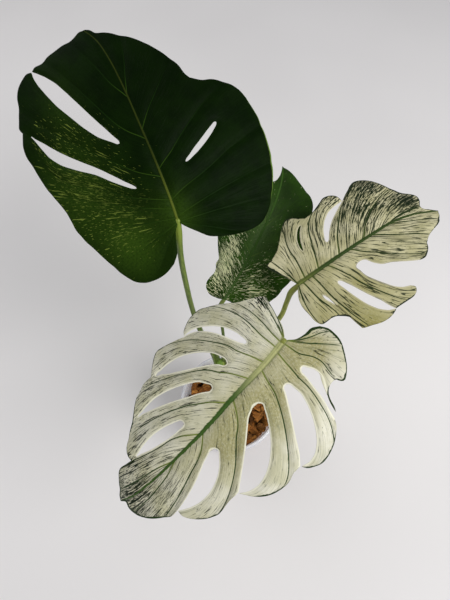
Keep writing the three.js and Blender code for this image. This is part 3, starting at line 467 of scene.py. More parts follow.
def make_piece(name, points, faces, material):
    """A mesh object at the origin from points in millimetres and faces with three or four corners each."""
    mesh = bpy.data.meshes.new(name)
    corners = faces.shape[1]
    mesh.vertices.add(len(points))
    mesh.vertices.foreach_set("co", (points * MM).astype(np.float32).ravel())
    mesh.loops.add(faces.size)
    mesh.loops.foreach_set("vertex_index", faces.astype(np.int32).ravel())
    mesh.polygons.add(len(faces))
    mesh.polygons.foreach_set("loop_start", np.arange(0, faces.size, corners, dtype=np.int32))
    mesh.polygons.foreach_set("use_smooth", np.ones(len(faces), bool))
    mesh.update(calc_edges=True)
    mesh.validate()
    mesh.materials.append(material)
    piece = bpy.data.objects.new(name, mesh)
    bpy.context.scene.collection.objects.link(piece)
    return piece


def put_map(piece, name, corner_values):
    """A UV map from one pair of numbers for each corner of each face."""
    layer = piece.data.uv_layers.new(name=name)
    layer.data.foreach_set("uv", corner_values.astype(np.float32).ravel())


def put_vectors(piece, name, values):
    """Three numbers at each point, for the material to read."""
    layer = piece.data.attributes.new(name, "FLOAT_VECTOR", "POINT")
    layer.data.foreach_set("vector", values.astype(np.float32).ravel())


def settle(piece, nodes):
    """Puts the piece on the plant's one body, in place of CAD nodes."""
    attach(piece, "root")
    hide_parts(*nodes)


def ring_quads(rings, sides):
    """Quads between rings of points that follow each other, each ring closed on itself."""
    i, j = np.meshgrid(np.arange(rings - 1), np.arange(sides), indexing="ij")
    a = i * sides + j
    b = i * sides + (j + 1) % sides
    return np.stack([a, b, b + sides, a + sides], axis=-1).reshape(-1, 4)


def weld(points, quads):
    """Merges points closer than a thousandth and cuts quads into triangles, without the empty ones.

    Gives the kept points' places in the first list, the triangles on them, and the same triangles on the
    first list, for values that differ between two faces at one point.
    """
    key = np.round(points * 1000).astype(np.int64)
    _, kept, ids = np.unique(key, axis=0, return_index=True, return_inverse=True)
    loose = np.concatenate([quads[:, [0, 1, 2]], quads[:, [0, 2, 3]]])
    faces = ids.reshape(-1)[loose]
    solid = (faces[:, 0] != faces[:, 1]) & (faces[:, 1] != faces[:, 2]) & (faces[:, 2] != faces[:, 0])
    return kept, faces[solid], loose[solid]


def tube(path, radii, sides, rings, side, shape=None):
    """Round section carried along a smooth path, with a rounded cap at each end.

    A point is centre(t) + radius(t) * shape(angle, t) * (cos(angle) * across + sin(angle) * up), where
    across and up stand square to the path and across looks towards side. A cap is a quarter circle: the
    radius falls as the cosine while the centre moves on by the radius times the sine.
    """
    t = np.linspace(0, 1, rings)
    fine = np.linspace(0, 1, 60 * len(path))
    arc = travelled(curve_at(path, fine))
    even = np.interp(t * arc[-1], arc, fine)
    centres = curve_at(path, even)
    radius = curve_at(np.asarray(radii, float)[:, None], even)[:, 0]
    heading = unit(np.gradient(centres, axis=0))
    turn = np.linspace(0, math.pi / 2, CAP_RINGS + 1)[1:]
    share = np.cos(turn).round(9)
    before = centres[0] - heading[0] * (np.sin(turn) * radius[0])[:, None]
    beyond = centres[-1] + heading[-1] * (np.sin(turn) * radius[-1])[:, None]
    centres = np.vstack([before[::-1], centres, beyond])
    radius = np.concatenate([(radius[0] * share)[::-1], radius, radius[-1] * share])
    heading = np.pad(heading, ((CAP_RINGS, CAP_RINGS), (0, 0)), mode="edge")
    t = np.pad(t, CAP_RINGS, mode="edge")
    side = np.asarray(side, float)
    across = unit(side - heading * (heading @ side)[:, None])
    up = np.cross(heading, across)
    angle = np.linspace(0, 2 * math.pi, sides, endpoint=False)
    size = radius[:, None] * (np.ones((len(t), sides)) if shape is None else shape(angle[None], t[:, None]))
    points = centres[:, None] + size[..., None] * (
        np.cos(angle)[None, :, None] * across[:, None] + np.sin(angle)[None, :, None] * up[:, None])
    points = points.reshape(-1, 3)
    kept, faces, _ = weld(points, ring_quads(len(t), sides))
    return points[kept], faces


# Leaf outline: rays from the midrib to the margin, and the lobes between them


def midrib_across(leaf, u):
    """v of the midrib at u, on the smooth curve through its points."""
    line = curve_at(leaf["midrib"], np.linspace(0, 1, 600))
    return np.interp(u, line[:, 0], line[:, 1])


def row_places(length, ends):
    """Distances along a ray at which its rows stand.

    Their spacing is the inverse of 1 + 2 exp(-x / 6) + 2.5 exp(-|x - end| / 2.5), so they crowd beside the
    midrib and at each blind end of a slit, and the nearest row is moved onto the end.
    """
    x = np.linspace(0, length, 1200)
    crowd = 1 + 2 * np.exp(-x / 6)
    for end in ends:
        crowd = crowd + 2.5 * np.exp(-np.abs(x - end) / 2.5)
    count = np.concatenate([[0], np.cumsum((crowd[1:] + crowd[:-1]) / 2)])
    places = np.interp(np.linspace(0, count[-1], ROWS), count, x)
    for end in ends:
        places[np.argmin(np.abs(places - end))] = end
    return places


def smoothed(values, places, reach):
    """Rows of values at even places, each replaced by the bell-weighted mean of those within reach."""
    width = max(int(reach / (places[1] - places[0])), 1)
    window = np.hanning(2 * width + 3)[1:-1]
    padded = np.pad(values, ((width, width), (0, 0)), mode="edge")
    return np.stack([np.convolve(column, window / window.sum(), "valid") for column in padded.T], axis=1)


def ray_sides(leaf, ray):
    """Both sides of a ray, from the midrib to the margin.

    The ray's middle is the smooth curve through its points. Where it is a slit, each side stands off by half
    of the slit's width, which is smoothed along the ray and closes at a blind end as a quarter circle does,
    by sqrt(1 - (1 - x) ** 2). ease is what a much smoother width would add, for the lines inside a lobe.
    """
    entries = [[ray[0], float(midrib_across(leaf, ray[0]))]] + ray[1:]
    centres = np.array([[(e[0] + e[2]) / 2, (e[1] + e[3]) / 2] if len(e) == 4 else e[:2] for e in entries])
    run = centres[np.minimum(np.arange(len(entries)) + 1, len(entries) - 1)]
    run = run - centres[np.maximum(np.arange(len(entries)) - 1, 0)]
    width = np.array([e[2] if len(e) == 3 else 0 for e in entries], float)[:, None]
    halves = np.sign(run[:, 1:]) * np.stack([run[:, 1], -run[:, 0]], axis=1) * width / 2
    halves = halves / np.linalg.norm(run, axis=1, keepdims=True)
    for i, e in enumerate(entries):
        if len(e) == 4:
            halves[i] = [(e[2] - e[0]) / 2, (e[3] - e[1]) / 2]
    t = np.linspace(0, 1, 60 * (len(entries) - 1) + 1)
    line = curve_at(centres, t)
    arc = travelled(line)
    stops = arc[::60]
    opened = np.flatnonzero(np.abs(halves).sum(axis=1) > 0)
    ends = []
    even = np.linspace(0, arc[-1], 900)
    stand_off, eased = np.zeros((2, len(even), 2))
    if len(opened):
        raw = between(even, stops[opened], halves[opened])
        start, first = stops[opened[0] - 1], stops[opened[0]]
        x = np.clip((even - start) / (first - start), 0, 1)
        shut = np.sqrt(1 - (1 - x) ** 2)
        ends.append(start)
        if opened[-1] < len(entries) - 1:
            last, finish = stops[opened[-1]], stops[opened[-1] + 1]
            x = np.clip((finish - even) / (finish - last), 0, 1)
            shut = shut * np.sqrt(1 - (1 - x) ** 2)
            ends.append(finish)
        stand_off = smoothed(raw, even, 2.5) * shut[:, None]
        eased = smoothed(stand_off, even, 14)
        hold = soft_step(0, 12, even) * (1 - soft_step(arc[-1] - 9, arc[-1], even))
        eased = blend(stand_off, eased, hold[:, None])
    places = row_places(arc[-1], ends)
    middle = between(places, arc, line)
    off = between(places, even, stand_off)
    if ends:
        outside = (places <= ends[0]) | (places >= ends[1] if len(ends) > 1 else False)
        off[outside] = 0
    ease = between(places, even, eased) - off
    return dict(root=ray[0], low=middle - off, high=middle + off, ease=ease, run=places,
                reach=places / arc[-1])


def midrib_ray(leaf):
    """The midrib beyond the last ray, as a ray of its own that both halves share."""
    beyond = [p for p in leaf["midrib"] if p[0] > leaf["spine_start"]]
    start = [leaf["spine_start"], float(midrib_across(leaf, leaf["spine_start"]))]
    line = curve_at([start] + beyond, np.linspace(0, 1, 60 * len(beyond) + 1))
    arc = travelled(line)
    places = row_places(arc[-1], [])
    middle = between(places, arc, line)
    return dict(root=leaf["spine_start"], low=middle, high=middle, ease=0 * middle, run=places,
                reach=places / arc[-1])


def lobe_patches(leaf, cell):
    """Grids of flat points for every lobe of both halves, from the midrib to the margin.

    A lobe is a Coons patch: its sides are the rays beside it, its foot a stretch of the midrib and its end a
    stretch of the margin. Both halves share the same places on the midrib.
    """
    halves = []
    for side in ("left", "right"):
        rays = [ray_sides(leaf, ray) for ray in leaf[side]["rays"]] + [midrib_ray(leaf)]
        halves.append([
            dict(side=side, low=rays[k], high=rays[k + 1],
                 margin=[rays[k]["high"][-1], *edge, rays[k + 1]["low"][-1]])
            for k, edge in enumerate(leaf[side]["edges"])])
    marks = sorted({lobe[ray]["root"] for lobe in halves[0] + halves[1] for ray in ("low", "high")})
    for lobe in halves[0] + halves[1]:
        lobe["cells"] = travelled(along_curve(lobe["margin"], np.linspace(0, 1, 60)))[-1] / cell
    stops = [np.array([float(marks[0])])]
    for a, b in zip(marks[:-1], marks[1:]):
        over = [lobe["cells"] * (b - a) / (lobe["high"]["root"] - lobe["low"]["root"])
                for lobe in halves[0] + halves[1]
                if lobe["low"]["root"] <= a and lobe["high"]["root"] >= b]
        stops.append(np.linspace(a, b, math.ceil(max(over)) + 1)[1:])
    stops = np.concatenate(stops)
    for half in halves:
        before = 0.0
        for number, lobe in enumerate(half):
            low, high = lobe["low"], lobe["high"]
            if high["root"] - low["root"] < 1:
                share = np.linspace(0, 1, math.ceil(lobe["cells"]) + 1)
                feet = np.full(len(share), float(low["root"]))
            else:
                feet = stops[(stops >= low["root"]) & (stops <= high["root"])]
                share = (feet - low["root"]) / (high["root"] - low["root"])
            w = share[:, None, None]
            s = blend(low["reach"][None], high["reach"][None], share[:, None])[..., None]
            foot = np.stack([feet, midrib_across(leaf, feet)], axis=1)[:, None]
            end = along_curve(lobe["margin"], share)[:, None]
            sides = blend(low["high"][None], high["low"][None], w)
            sides = sides + low["ease"][None] * (1 - w) * (1 - (1 - w) ** 5)
            sides = sides - high["ease"][None] * w * (1 - w ** 5)
            corners = blend(blend(low["high"][:1], high["low"][:1], w),
                            blend(low["high"][-1:], high["low"][-1:], w), s)
            flat = sides + blend(foot, end, s) - corners
            flat[0] = low["high"]
            flat[-1] = high["low"]
            flat[:, 0] = foot[:, 0]
            flat[:, -1] = end[:, 0]
            lobe["flat"] = flat
            lobe["share"] = share
            lobe["reach"] = s[..., 0]
            lobe["along"] = blend(low["run"][None], high["run"][None], share[:, None])
            width = np.linalg.norm(flat[-1] - flat[0], axis=1)[int(ROWS * 0.45):int(ROWS * 0.85)].mean()
            lobe["across"] = np.repeat(before + share[:, None] * width, ROWS, axis=1)
            lobe["veins"] = leaf[lobe["side"]]["veins"][number]
            before += width
    return halves[0] + halves[1]


def to_segments(points, starts, stops):
    """Distance from each flat point to the nearest of many straight segments, worked out in blocks."""
    run = stops - starts
    size = np.maximum((run ** 2).sum(axis=1), 1e-9)
    nearest = np.empty(len(points))
    for i in range(0, len(points), 2000):
        gap = points[i:i + 2000, None] - starts[None]
        share = np.clip((gap * run).sum(axis=2) / size, 0, 1)
        nearest[i:i + 2000] = np.sqrt(((gap - share[..., None] * run) ** 2).sum(axis=2).min(axis=1))
    return nearest


# Leaf in space


def leaf_axes(leaf):
    """Directions along the midrib, up out of the blade and across it to the right, at the stalk."""
    heading, rise, roll = (math.radians(leaf[key]) for key in ("heading", "rise", "roll"))
    along = np.array([math.cos(rise) * math.cos(heading), math.cos(rise) * math.sin(heading), math.sin(rise)])
    up = unit(np.array([0, 0, 1.0]) - along * along[2])
    up = up * math.cos(roll) + np.cross(along, up) * math.sin(roll)
    return along, up, np.cross(along, up)


def in_space(leaf, flat, lift):
    """Place in space of flat points, lifted off the blade along its own normal.

    The midrib droops on a circle in front of the stalk: ahead = sin(bend u) / bend and
    drop = (1 - cos(bend u)) / bend. Each half leans down from it by fold (1 - exp(-|v| / 4)) + curl |v|, and
    the way out and down is the running sum of that lean's cosine and sine.
    """
    along, up, across = leaf_axes(leaf)
    u, v = flat[:, 0], flat[:, 1]
    bend = math.radians(leaf["droop"]) / 100
    angle = bend * np.maximum(u, 0)
    ahead = np.where(u > 0, np.sin(angle) / bend, u)
    drop = (1 - np.cos(angle)) / bend
    widest, pace = 130, 0.25
    steps = np.arange(0, widest, pace)
    sign = np.where(v > 0, 1.0, -1.0)
    lean, out, down = (np.zeros(len(u)) for _ in range(3))
    for half, chosen in enumerate((v <= 0, v > 0)):
        tilt = math.radians(leaf["fold"][half]) * (1 - np.exp(-steps / 4))
        tilt = tilt + math.radians(leaf["curl"][half]) / 100 * steps
        sums = [np.concatenate([[0], np.cumsum((f(tilt)[1:] + f(tilt)[:-1]) / 2 * pace)])
                for f in (np.cos, np.sin)]
        reach = np.abs(v[chosen])
        lean[chosen] = np.interp(reach, steps, tilt)
        out[chosen] = np.interp(reach, steps, sums[0])
        down[chosen] = np.interp(reach, steps, sums[1])
    normal = np.sin(angle)[:, None] * along + np.cos(angle)[:, None] * up
    surface = np.cos(lean)[:, None] * normal + (sign * np.sin(lean))[:, None] * across
    return (np.array(leaf["joint"], float) + ahead[:, None] * along - drop[:, None] * up
            + (sign * out)[:, None] * across - down[:, None] * normal + lift[:, None] * surface)


def spread(spots, flat):
    """A base value and bells on it: base + sum of amount * exp(-((u - u0) / ru)^2 - ((v - v0) / rv)^2)."""
    total = np.full(len(flat), float(spots[0]))
    for u, v, reach_u, reach_v, amount in spots[1:]:
        total += amount * np.exp(-((flat[:, 0] - u) / reach_u) ** 2 - ((flat[:, 1] - v) / reach_v) ** 2)
    return total


def threshold(share):
    """Level that a share of smooth noise lies above: the bell curve's quantile, as 4.91 (p^0.14 - q^0.14)."""
    p = np.clip(share, 0.001, 0.97)
    return 0.5 - 0.115 * 4.91 * (p ** 0.14 - (1 - p) ** 0.14)


def joined_lobes(lobes, first_right):
    """The lobes' grids as one flat mesh, and its main veins as many straight segments.

    margin tells the points on the outline: the end of each lobe, and the first side of each half.
    """
    parts = {key: [] for key in ("flat", "along", "across", "reach", "margin")}
    quads, starts, stops = [], [], []
    count = 0
    for number, lobe in enumerate(lobes):
        columns = len(lobe["share"])
        i, j = np.meshgrid(np.arange(columns - 1), np.arange(ROWS - 1), indexing="ij")
        a = (count + i * ROWS + j).ravel()
        square = np.stack([a, a + ROWS, a + ROWS + 1, a + 1], axis=1)
        quads.append(square if lobe["side"] == "left" else square[:, ::-1])
        on_margin = np.zeros((columns, ROWS), bool)
        on_margin[:, -1] = True
        on_margin[0] = number in (0, first_right)
        for key, values in dict(lobe, margin=on_margin).items():
            if key in parts:
                parts[key].append(values.reshape(columns * ROWS, -1))
        count += columns * ROWS
        for w in lobe["veins"]:
            line = lobe["flat"][np.argmin(np.abs(lobe["share"] - w))]
            starts.append(line[:-1])
            stops.append(line[1:])
    sheet = {key: np.concatenate(values) for key, values in parts.items()}
    kept, faces, loose = weld(sheet["flat"], np.concatenate(quads))
    grain = np.concatenate([sheet["along"], sheet["across"]], axis=1) / 10
    return dict(flat=sheet["flat"][kept], across=sheet["across"][kept, 0], reach=sheet["reach"][kept, 0],
                margin=sheet["margin"][kept, 0], grain=grain, kept=kept, faces=faces, loose=loose,
                veins=(np.concatenate(starts), np.concatenate(stops)))


def measure(leaf, sheet):
    """Adds the open edges, and each point's distance to the veins, the midrib, the margin and the slits."""
    flat, faces = sheet["flat"], sheet["faces"]
    edges = np.concatenate([faces[:, [0, 1]], faces[:, [1, 2]], faces[:, [2, 0]]])
    code = edges[:, 0] * len(flat) + edges[:, 1]
    border = edges[~np.isin(code, edges[:, 1] * len(flat) + edges[:, 0])]
    outer = sheet["margin"][border].all(axis=1)
    margin, slit = border[outer], border[~outer]
    length = leaf["midrib"][-1][0]
    rib_line = np.linspace(0, length, 160)
    rib_line = np.stack([rib_line, midrib_across(leaf, rib_line)], axis=1)
    sheet.update(
        border=border, grow=np.clip(1 - flat[:, 0] / length, 0, 1),
        vein_gap=to_segments(flat, *sheet["veins"]),
        rib_gap=to_segments(flat, rib_line[:-1], rib_line[1:]),
        margin_gap=to_segments(flat, flat[margin[:, 0]], flat[margin[:, 1]]),
        slit_gap=to_segments(flat, flat[slit[:, 0]], flat[slit[:, 1]]) if len(slit) else
        np.full(len(flat), FAR))


def relief(shape, sheet):
    """Lift of the upper skin, thickness under it and height of the ribs under that, in millimetres.

    Lift = bulge (1 - exp(-(vein / 4)^2)) (1 - exp(-(midrib / 5)^2)) - valleys exp(-(distance / width)^2)
    along the main veins and the midrib + a ridge in the midrib's valley - a roll-down beside slits + slow
    waves near the margin + a swelling at the stalk. The blade thins to 0.6 at its rims, and a rib's section
    is half an ellipse.
    """
    flat, grow, reach = sheet["flat"], sheet["grow"], sheet["reach"]
    vein_gap, rib_gap, across = sheet["vein_gap"], sheet["rib_gap"], sheet["across"]
    rim = np.minimum(sheet["margin_gap"], sheet["slit_gap"])
    fade = 1 - soft_step(0.7, 1, reach)
    lift = shape.bulge / MM * (1 - np.exp(-(vein_gap / 4) ** 2)) * (1 - np.exp(-(rib_gap / 5) ** 2))
    lift -= 0.35 * fade * np.exp(-(vein_gap / 0.9) ** 2)
    lift -= (0.5 + 0.7 * grow) * np.exp(-(rib_gap / 2.6) ** 2)
    lift += (0.25 + 0.55 * grow) * np.exp(-(rib_gap / 0.8) ** 2)
    lift -= 0.9 * np.exp(-(sheet["slit_gap"] / 2.2) ** 2)
    wave = np.sin(across / 7.5 + 2 * np.sin(across / 19)) * np.exp(-rim / 9)
    lift += shape.wave / MM * wave * soft_step(0.25, 0.8, reach)
    lift += 1.2 * np.exp(-((flat ** 2).sum(axis=1) / 4.5 ** 2))
    thick = shape.thickness / MM * (0.6 + 0.4 * soft_step(0, 5, rim))
    foot = shape.rib_depth / MM * (0.14 + 0.86 * grow)
    rib = foot * np.sqrt(np.clip(1 - (rib_gap / (1.1 + foot / 2)) ** 2, 0, 1)) * soft_step(0, 3, rim)
    side_rib = 0.65 * (1 - reach) * np.sqrt(np.clip(1 - (vein_gap / 1.0) ** 2, 0, 1))
    return lift, thick, np.maximum(rib, side_rib)


def blade(leaf, shape, material):
    """One leaf blade: the upper and lower skins of its lobes and a rounded border between them.

    The border's middle row is pushed out, away from the blade. The piece carries what its material reads.
    """
    sheet = joined_lobes(lobe_patches(leaf, shape.cell / MM), len(leaf["left"]["edges"]))
    measure(leaf, sheet)
    lift, thick, rib = relief(shape, sheet)
    flat, faces, border, loose = (sheet[key] for key in ("flat", "faces", "border", "loose"))
    run = flat[border[:, 1]] - flat[border[:, 0]]
    away = np.zeros_like(flat)
    for end in (0, 1):
        np.add.at(away, border[:, end], unit(np.stack([-run[:, 1], run[:, 0]], axis=1)))
    rims = np.unique(border)
    upper = in_space(leaf, flat, lift + thick / 2)
    lower = in_space(leaf, flat, lift - thick / 2 - rib)
    middle = in_space(leaf, flat[rims] + BORDER_PUSH * unit(away[rims]), (lift - rib / 2)[rims])
    number = np.zeros(len(flat), int)
    number[rims] = np.arange(len(rims)) + 2 * len(flat)
    p, q = border[:, 0], border[:, 1]
    walls = np.concatenate([
        np.stack([q, p, number[p]], axis=1), np.stack([q, number[p], number[q]], axis=1),
        np.stack([number[q], number[p], p + len(flat)], axis=1),
        np.stack([number[q], p + len(flat), q + len(flat)], axis=1)])
    skins = np.concatenate([faces, faces[:, ::-1] + len(flat), walls])
    piece = make_piece(leaf["name"], np.concatenate([upper, lower, middle]), skins, material)

    # Maps: the grain's, the flat leaf's, and one with both skins side by side
    home = np.concatenate([np.arange(len(flat)), np.arange(len(flat)), rims])
    grain = sheet["grain"]
    wall_grain = grain[sheet["kept"]][home[walls]]
    put_map(piece, "grain", np.concatenate([grain[loose], grain[loose][:, ::-1], wall_grain]))
    put_map(piece, "flat", flat[home[skins]] / 10)
    low, high = flat.min(axis=0), flat.max(axis=0)
    scale = min(0.46 / (high[1] - low[1]), 0.96 / (high[0] - low[0]))
    side = np.stack([(flat[:, 1] - low[1]) * scale + 0.015, (flat[:, 0] - low[0]) * scale + 0.015], axis=1)
    both = np.concatenate([side, side * [-1, 1] + [1, 0], side[rims]])
    baked = both[skins]
    baked[len(faces) * 2:] = side[home[walls]]
    put_map(piece, "OFBake", baked)

    # What the material reads at the points
    def put(name, *values):
        put_vectors(piece, name, np.stack([x[home] if len(x) == len(flat) else x for x in values], axis=1))

    under = np.concatenate([np.zeros(len(flat)), np.ones(len(flat)), np.full(len(rims), 0.5)])
    amounts = {key: np.clip(spread(leaf[key], flat), 0, 1) for key in ("wash", "rim", "deep")}
    streaks, lines = (threshold(spread(leaf[key], flat)) for key in ("streaks", "lines"))
    put("ribs", sheet["vein_gap"], sheet["rib_gap"], sheet["reach"])
    put("edges", sheet["margin_gap"], sheet["slit_gap"], under)
    put("tint", streaks, lines, amounts["wash"])
    put("paint", amounts["rim"], amounts["deep"], sheet["grow"])
    return piece


# Materials


class Finish:
    """One material, built up node by node. Every method adds a node and gives back its output."""

    def __init__(self, name, **settings):
        self.material = bpy.data.materials.new(name)
        self.material.use_nodes = True
        self.tree = self.material.node_tree
        self.surface = self.tree.nodes["Principled BSDF"]
        for socket, value in settings.items():
            self.surface.inputs[socket.replace("_", " ")].default_value = value

    def node(self, kind, *values, **options):
        """A node with its options and inputs, each a number, a colour or another node's output."""
        node = self.tree.nodes.new(kind)
        for option, value in options.items():
            setattr(node, option, value)
        for socket, value in zip(node.inputs, values):
            self.fill(socket, value)
        return node

    def fill(self, socket, value):
        """Links an output to the input, or writes a plain value into it."""
        if isinstance(value, bpy.types.NodeSocket):
            self.tree.links.new(value, socket)
        elif value is not None:
            size = len(socket.default_value) if hasattr(socket.default_value, "__len__") else 0
            socket.default_value = (*value, 1)[:size] if size else value

    def sum(self, kind, first, second=None, third=None):
        """A Math node."""
        return self.node("ShaderNodeMath", first, second, third, operation=kind).outputs[0]

    def times(self, first, second):
        """The product of two values."""
        return self.sum("MULTIPLY", first, second)

    def step(self, value, low, high):
        """0 at low and 1 at high, smooth between; low may be the larger one."""
        node = self.node("ShaderNodeMapRange", value, low, high, 0.0, 1.0, interpolation_type="SMOOTHSTEP")
        return node.outputs[0]

    def mix(self, share, first, second):
        """A colour between two; 6, 7 and 2 are the numbers of the node's colour sockets."""
        node = self.node("ShaderNodeMix", data_type="RGBA")
        self.fill(node.inputs[0], share)
        self.fill(node.inputs[6], first)
        self.fill(node.inputs[7], second)
        return node.outputs[2]

    def noise(self, place, scale, detail=2.0, roughness=0.5, distortion=0.0):
        """Smooth noise around 0.5."""
        node = self.node("ShaderNodeTexNoise")
        self.fill(node.inputs["Vector"], place)
        for name, value in (("Scale", scale), ("Detail", detail), ("Roughness", roughness),
                            ("Distortion", distortion)):
            node.inputs[name].default_value = value
        return node.outputs[0]

    def place(self, scale):
        """Object coordinates in centimetres, stretched."""
        source = self.node("ShaderNodeTexCoord").outputs["Object"]
        return self.node("ShaderNodeMapping", source, None, None, tuple(100 * s for s in scale)).outputs[0]

    def join(self, x, y, z=0.0):
        """A vector from three numbers."""
        return self.node("ShaderNodeCombineXYZ", x, y, z).outputs[0]

    def parts(self, vector):
        """The three numbers of a vector."""
        return self.node("ShaderNodeSeparateXYZ", vector).outputs[:3]

    def read(self, name):
        """A named vector that the piece carries at its points."""
        return self.parts(self.node("ShaderNodeAttribute", attribute_name=name).outputs["Vector"])

    def map(self, name):
        """The two numbers of a UV map of the piece."""
        return self.parts(self.node("ShaderNodeUVMap", uv_map=name).outputs[0])[:2]

    def paint(self, colour, roughness, height, depth, strength):
        """Sends the results to the surface; height is in parts of depth, which is in metres."""
        self.fill(self.surface.inputs["Base Color"], colour)
        self.fill(self.surface.inputs["Roughness"], roughness)
        bump = self.node("ShaderNodeBump")
        self.fill(bump.inputs["Height"], height)
        bump.inputs["Distance"].default_value = depth
        bump.inputs["Strength"].default_value = strength
        self.fill(self.surface.inputs["Normal"], bump.outputs[0])
        return self.material


def leaf_finish(leaf, colours):
    """Skin of a blade: two tones, fine veins, streaks, main veins, midrib and rims.

    The grain map's first number runs along the side veins and its second across them, both in centimetres,
    so noise that is slow in the first and quick in the second breaks up into streaks along the veins.
    """
    look = leaf["look"]
    m = Finish(leaf["name"] + "_skin", Specular_IOR_Level=look["gloss"], IOR=1.42)
    along, across = m.map("grain")
    u, v = m.map("flat")
    vein, rib, reach = m.read("ribs")
    outer, slit, under = m.read("edges")
    streak_level, line_level, wash = m.read("tint")
    rim_paint, deep, grow = m.read("paint")

    def grained(slow, quick, turn, **options):
        place = m.join(m.times(along, slow), m.times(across, quick), turn)
        return m.noise(place, 1.0, **options)

    # Lamina: two tones in slow clouds, a wash (a tint of the leaf's own, and painted shade and sheen), and a
    # fine mottle
    cloud = m.noise(m.join(u, v), 0.55, detail=3.0)
    ground = m.mix(m.step(cloud, 0.36, 0.66), colours.lamina, colours.shade)
    ground = m.mix(wash, ground, colours.wash)
    mottle = m.noise(m.join(u, v), 6.0, detail=3.0, roughness=0.65)
    ground = m.mix(m.times(m.step(mottle, 0.42, 0.68), look["mottle"]), ground, colours.shade)

    # Fibres all over; fine veins are thin lines where noise crosses its middle, dark in broken stretches
    fibre = grained(0.3, 13.0, 4.0, detail=2.0)
    ground = m.mix(m.times(m.step(fibre, 0.46, 0.68), 0.17), ground, colours.vein)
    lines = m.sum("ABSOLUTE", m.sum("SUBTRACT", grained(0.28, look["line_pitch"], 0.0, detail=1.0), 0.5))
    thin = m.step(lines, 0.024, 0.006)
    ground = m.mix(m.times(thin, look["fine_veins"]), ground, colours.vein)
    breaks = grained(0.6, 4.0, 9.0, detail=3.0, roughness=0.6)
    shown = m.step(m.sum("SUBTRACT", breaks, line_level), -0.03, 0.02)
    dark = m.times(m.step(lines, look["line_width"] * 0.05, look["line_width"] * 0.02), shown)
    ground = m.mix(m.times(dark, look["marks"] * 0.9), ground, colours.mark)

    # Streaks and flecks, dense where the leaf is, in sectors that follow the veins
    sectors = grained(0.22, 1.0, 7.0)
    sway = m.times(m.sum("SUBTRACT", sectors, 0.5), look["clusters"])
    streaks = grained(*look["streak"], 3.0, detail=3.0, roughness=0.55, distortion=look["ragged"])
    streaks = m.step(m.sum("ADD", m.sum("SUBTRACT", streaks, streak_level), sway), -0.008, 0.012)
    flecks = grained(*look["fleck"], 5.0, detail=1.0)
    flecks = m.step(m.sum("SUBTRACT", flecks, m.sum("ADD", streak_level, 0.02)), -0.008, 0.012)
    marks = m.sum("MAXIMUM", streaks, flecks)
    ground = m.mix(m.times(marks, look["marks"]), ground, colours.mark)
    ground = m.mix(deep, ground, colours.deep)

    # Main veins narrow and darken outwards, and the midrib changes colour along the leaf
    half = m.sum("MULTIPLY_ADD", reach, -look["vein_width"] * 0.45, look["vein_width"])
    half = m.times(half, m.sum("MULTIPLY_ADD", mottle, 0.9, 0.55))
    vein_line = m.step(m.sum("DIVIDE", vein, half), 1.25, 0.5)
    vein_fade = m.step(reach, 0.99, look["vein_end"])
    vein_colour = m.mix(m.step(reach, *look["vein_turn"]), colours.vein_near, colours.vein)
    ground = m.mix(m.times(vein_line, vein_fade), ground, vein_colour)
    foot, tip = look["rib_width"]
    half = m.sum("MULTIPLY_ADD", m.sum("POWER", grow, look["rib_taper"]), foot - tip, tip)
    feathered = m.sum("MULTIPLY_ADD", m.sum("SUBTRACT", grained(2.0, 5.0, 1.0), 0.5), look["feather"], rib)
    rib_line = m.step(m.sum("DIVIDE", feathered, half), 1.25, 0.75)
    rib_colour = m.mix(m.step(u, look["rib_turn"][0] / 10, look["rib_turn"][1] / 10), colours.rib_near,
                       colours.rib)
    # The midrib's flanks are darkened towards the vein colour: painted shade on the sides of the raised rib.
    rib_flank_shade = m.step(m.sum("DIVIDE", rib, half), 0.4, 1.0)
    rib_colour = m.mix(m.times(rib_flank_shade, 0.5), rib_colour, colours.vein)
    ground = m.mix(rib_line, ground, rib_colour)

    # Rims: a pale painted highlight along the edges of the slits, and a painted, ragged line on the margin
    ground = m.mix(m.times(m.step(slit, 1.3, 0.3), look["slit_highlight_strength"]), ground, colours.rim_pale)
    ragged = m.sum("MULTIPLY_ADD", m.sum("SUBTRACT", grained(2.0, 6.0, 2.0), 0.5), look["rim_ragged"], outer)
    width = m.times(rim_paint, look["rim_width"])
    rim_line = m.step(m.sum("SUBTRACT", ragged, width), 0.25, -0.15)
    ground = m.mix(m.times(rim_line, m.step(rim_paint, 0.02, 0.12)), ground, colours.rim)

    # The underside is paler and duller
    ground = m.mix(m.times(under, look["pale_under"]), ground, colours.under)
    grain = m.noise(m.join(u, v), 26.0, detail=2.0)
    rough = m.sum("MULTIPLY_ADD", mottle, 0.16, look["rough"] - 0.08)
    rough = m.sum("MULTIPLY_ADD", under, 0.2, rough)
    height = m.sum("ADD", m.times(thin, -0.7), m.times(mottle, 0.9))
    height = m.sum("MULTIPLY_ADD", m.sum("ADD", grain, fibre), 0.5, height)
    return m.paint(ground, rough, height, depth=0.00018, strength=0.7)


